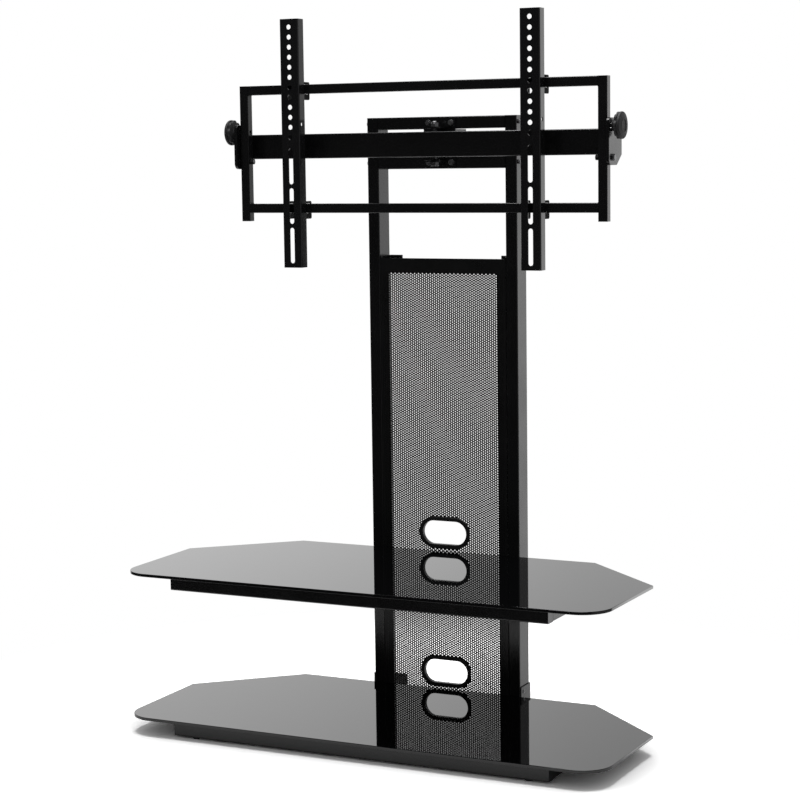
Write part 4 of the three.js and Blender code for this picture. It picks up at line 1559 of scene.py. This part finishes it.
levels = (backdrop_level, backdrop_level * ceiling_share)
mirrored = sky.nodes.new("ShaderNodeBackground")
sky.links.new(lowered.outputs["Color"], mirrored.inputs["Color"])
overhead = ranged(sky, sides.outputs["Z"], backdrop_top, levels, smooth=True)
sky.links.new(overhead, mirrored.inputs["Strength"])
rays = sky.nodes.new("ShaderNodeLightPath").outputs
shiny = combined(sky, "MAXIMUM", rays["Is Glossy Ray"], rays["Is Transmission Ray"])
on_stand = mixed(sky, shiny, plain_light(sky, plain_level), mirrored.outputs[0])
in_picture = mixed(sky, rays["Is Camera Ray"], on_stand, plain_light(sky, 1.0))
sky.links.new(in_picture, sky.nodes.new("ShaderNodeOutputWorld").inputs["Surface"])
print("even light:", plain_level)

# %% [markdown]
# The floor is white and takes the stand's shadow. The photograph is exposed for a pure white
# floor. A stronger light would give that white too, but it would wash out the stand. So the
# camera sees the floor through a paler white than the one that lights the stand, and only the
# deep part of the shadow stays grey.

# %% Floor
floor_radius = 1.3
floor_white = 0.9
floor_dullness = 0.9
floor_shine = 0.1
seen_white = 1.55
shape = bmesh.new()
bmesh.ops.create_circle(shape, cap_ends=True, segments=96, radius=floor_radius)
floor = object_from("floor", shape)
paint = bpy.data.materials.new("white_floor")
paint.use_nodes = True
ground = paint.node_tree
cover = ground.nodes["Principled BSDF"]
cover.inputs["Base Color"].default_value = (floor_white, floor_white, floor_white, 1.0)
cover.inputs["Roughness"].default_value = floor_dullness
cover.inputs["Specular IOR Level"].default_value = floor_shine
pale = ground.nodes.new("ShaderNodeBsdfDiffuse")
pale.inputs["Color"].default_value = (seen_white, seen_white, seen_white, 1.0)
rays = ground.nodes.new("ShaderNodeLightPath").outputs
exposed = mixed(ground, rays["Is Camera Ray"], cover.outputs[0], pale.outputs[0])
print("floor radius:", floor_radius)

# %% [markdown]
# A floor that simply stops would draw a line across the picture, and a very large one would
# fill every reflection with white. So past the shadow the floor fades to the white of the
# backdrop, and for glossy rays it ends in the dark room in front of the stand.

# %% Edges of the floor
fade_span = (0.75, 1.15)
dark_span = (-0.55, -0.85)
room_dark = 0.03
spot = ground.nodes.new("ShaderNodeNewGeometry").outputs["Position"]
reach = ground.nodes.new("ShaderNodeVectorMath")
reach.operation = "LENGTH"
ground.links.new(spot, reach.inputs[0])
faded = ranged(ground, reach.outputs["Value"], fade_span, smooth=True)
far = combined(ground, "MULTIPLY", faded, rays["Is Camera Ray"])
glow = ground.nodes.new("ShaderNodeEmission")
fading = mixed(ground, far, exposed, glow.outputs[0])
parts = ground.nodes.new("ShaderNodeSeparateXYZ")
ground.links.new(spot, parts.inputs[0])
ahead = ranged(ground, parts.outputs["Y"], dark_span, smooth=True)
in_room = combined(ground, "MULTIPLY", ahead, rays["Is Glossy Ray"])
room = ground.nodes.new("ShaderNodeEmission")
room.inputs["Color"].default_value = (room_dark, room_dark, room_dark, 1.0)
darkening = mixed(ground, in_room, fading, room.outputs[0])
ground.links.new(darkening, ground.nodes["Material Output"].inputs["Surface"])
floor.data.materials.append(paint)
print("floor fades between", fade_span[0], "and", fade_span[1])

# %% [markdown]
# One large soft light hangs over the stand. A small lamp would cast hard shadows, and the
# world alone casts almost none. A wide square light gives the shadow of the lower shelf a
# soft outline, as in the photograph, and draws thin lines of light on the upper edges.

# %% Overhead light
light_side = 2.0
light_height = 3.6
light_power = 120.0
softbox = bpy.data.lights.new("softbox", "AREA")
softbox.shape = "SQUARE"
softbox.size = light_side
softbox.energy = light_power
lamp = bpy.data.objects.new("softbox", softbox)
lamp.location = (0.0, 0.0, light_height)
bpy.context.scene.collection.objects.link(lamp)
print("softbox:", light_side, "wide at", light_height)

# %% [markdown]
# ## Camera
# The photograph was taken from the right and a little above, with a long lens. Turning a
# camera by hand until the picture looks alike never quite fits. So about ninety corners and
# holes were measured in the photograph, and the place, the turns and the lens are those that
# bring the same points of the model closest to them.

# %% Camera
camera_place = Vector((1.8044, -3.70125, 1.1420))
camera_yaw = math.radians(26.028)
camera_pitch = math.radians(6.578)
camera_roll = math.radians(-0.764)
camera_lens = 94.676
sensor_width = 36.0
camera_data = bpy.data.cameras.new("camera")
camera_data.lens = camera_lens
camera_data.sensor_width = sensor_width
camera_data.clip_start = 0.1
camera_data.clip_end = 50.0
camera = bpy.data.objects.new("camera", camera_data)
along = math.cos(camera_pitch)
forward = Vector((-math.sin(camera_yaw) * along, math.cos(camera_yaw) * along, -math.sin(camera_pitch)))
right = Vector((math.cos(camera_yaw), math.sin(camera_yaw), 0.0))
up = right.cross(forward)
turned_right = right * math.cos(camera_roll) + up * math.sin(camera_roll)
turned_up = up * math.cos(camera_roll) - right * math.sin(camera_roll)
turn = Matrix((turned_right, turned_up, -forward)).transposed()
camera.matrix_world = Matrix.Translation(camera_place) @ turn.to_4x4()
bpy.context.scene.collection.objects.link(camera)
bpy.context.scene.camera = camera
bpy.context.scene.view_settings.view_transform = "Standard"
print("camera at", [round(x, 3) for x in camera_place])
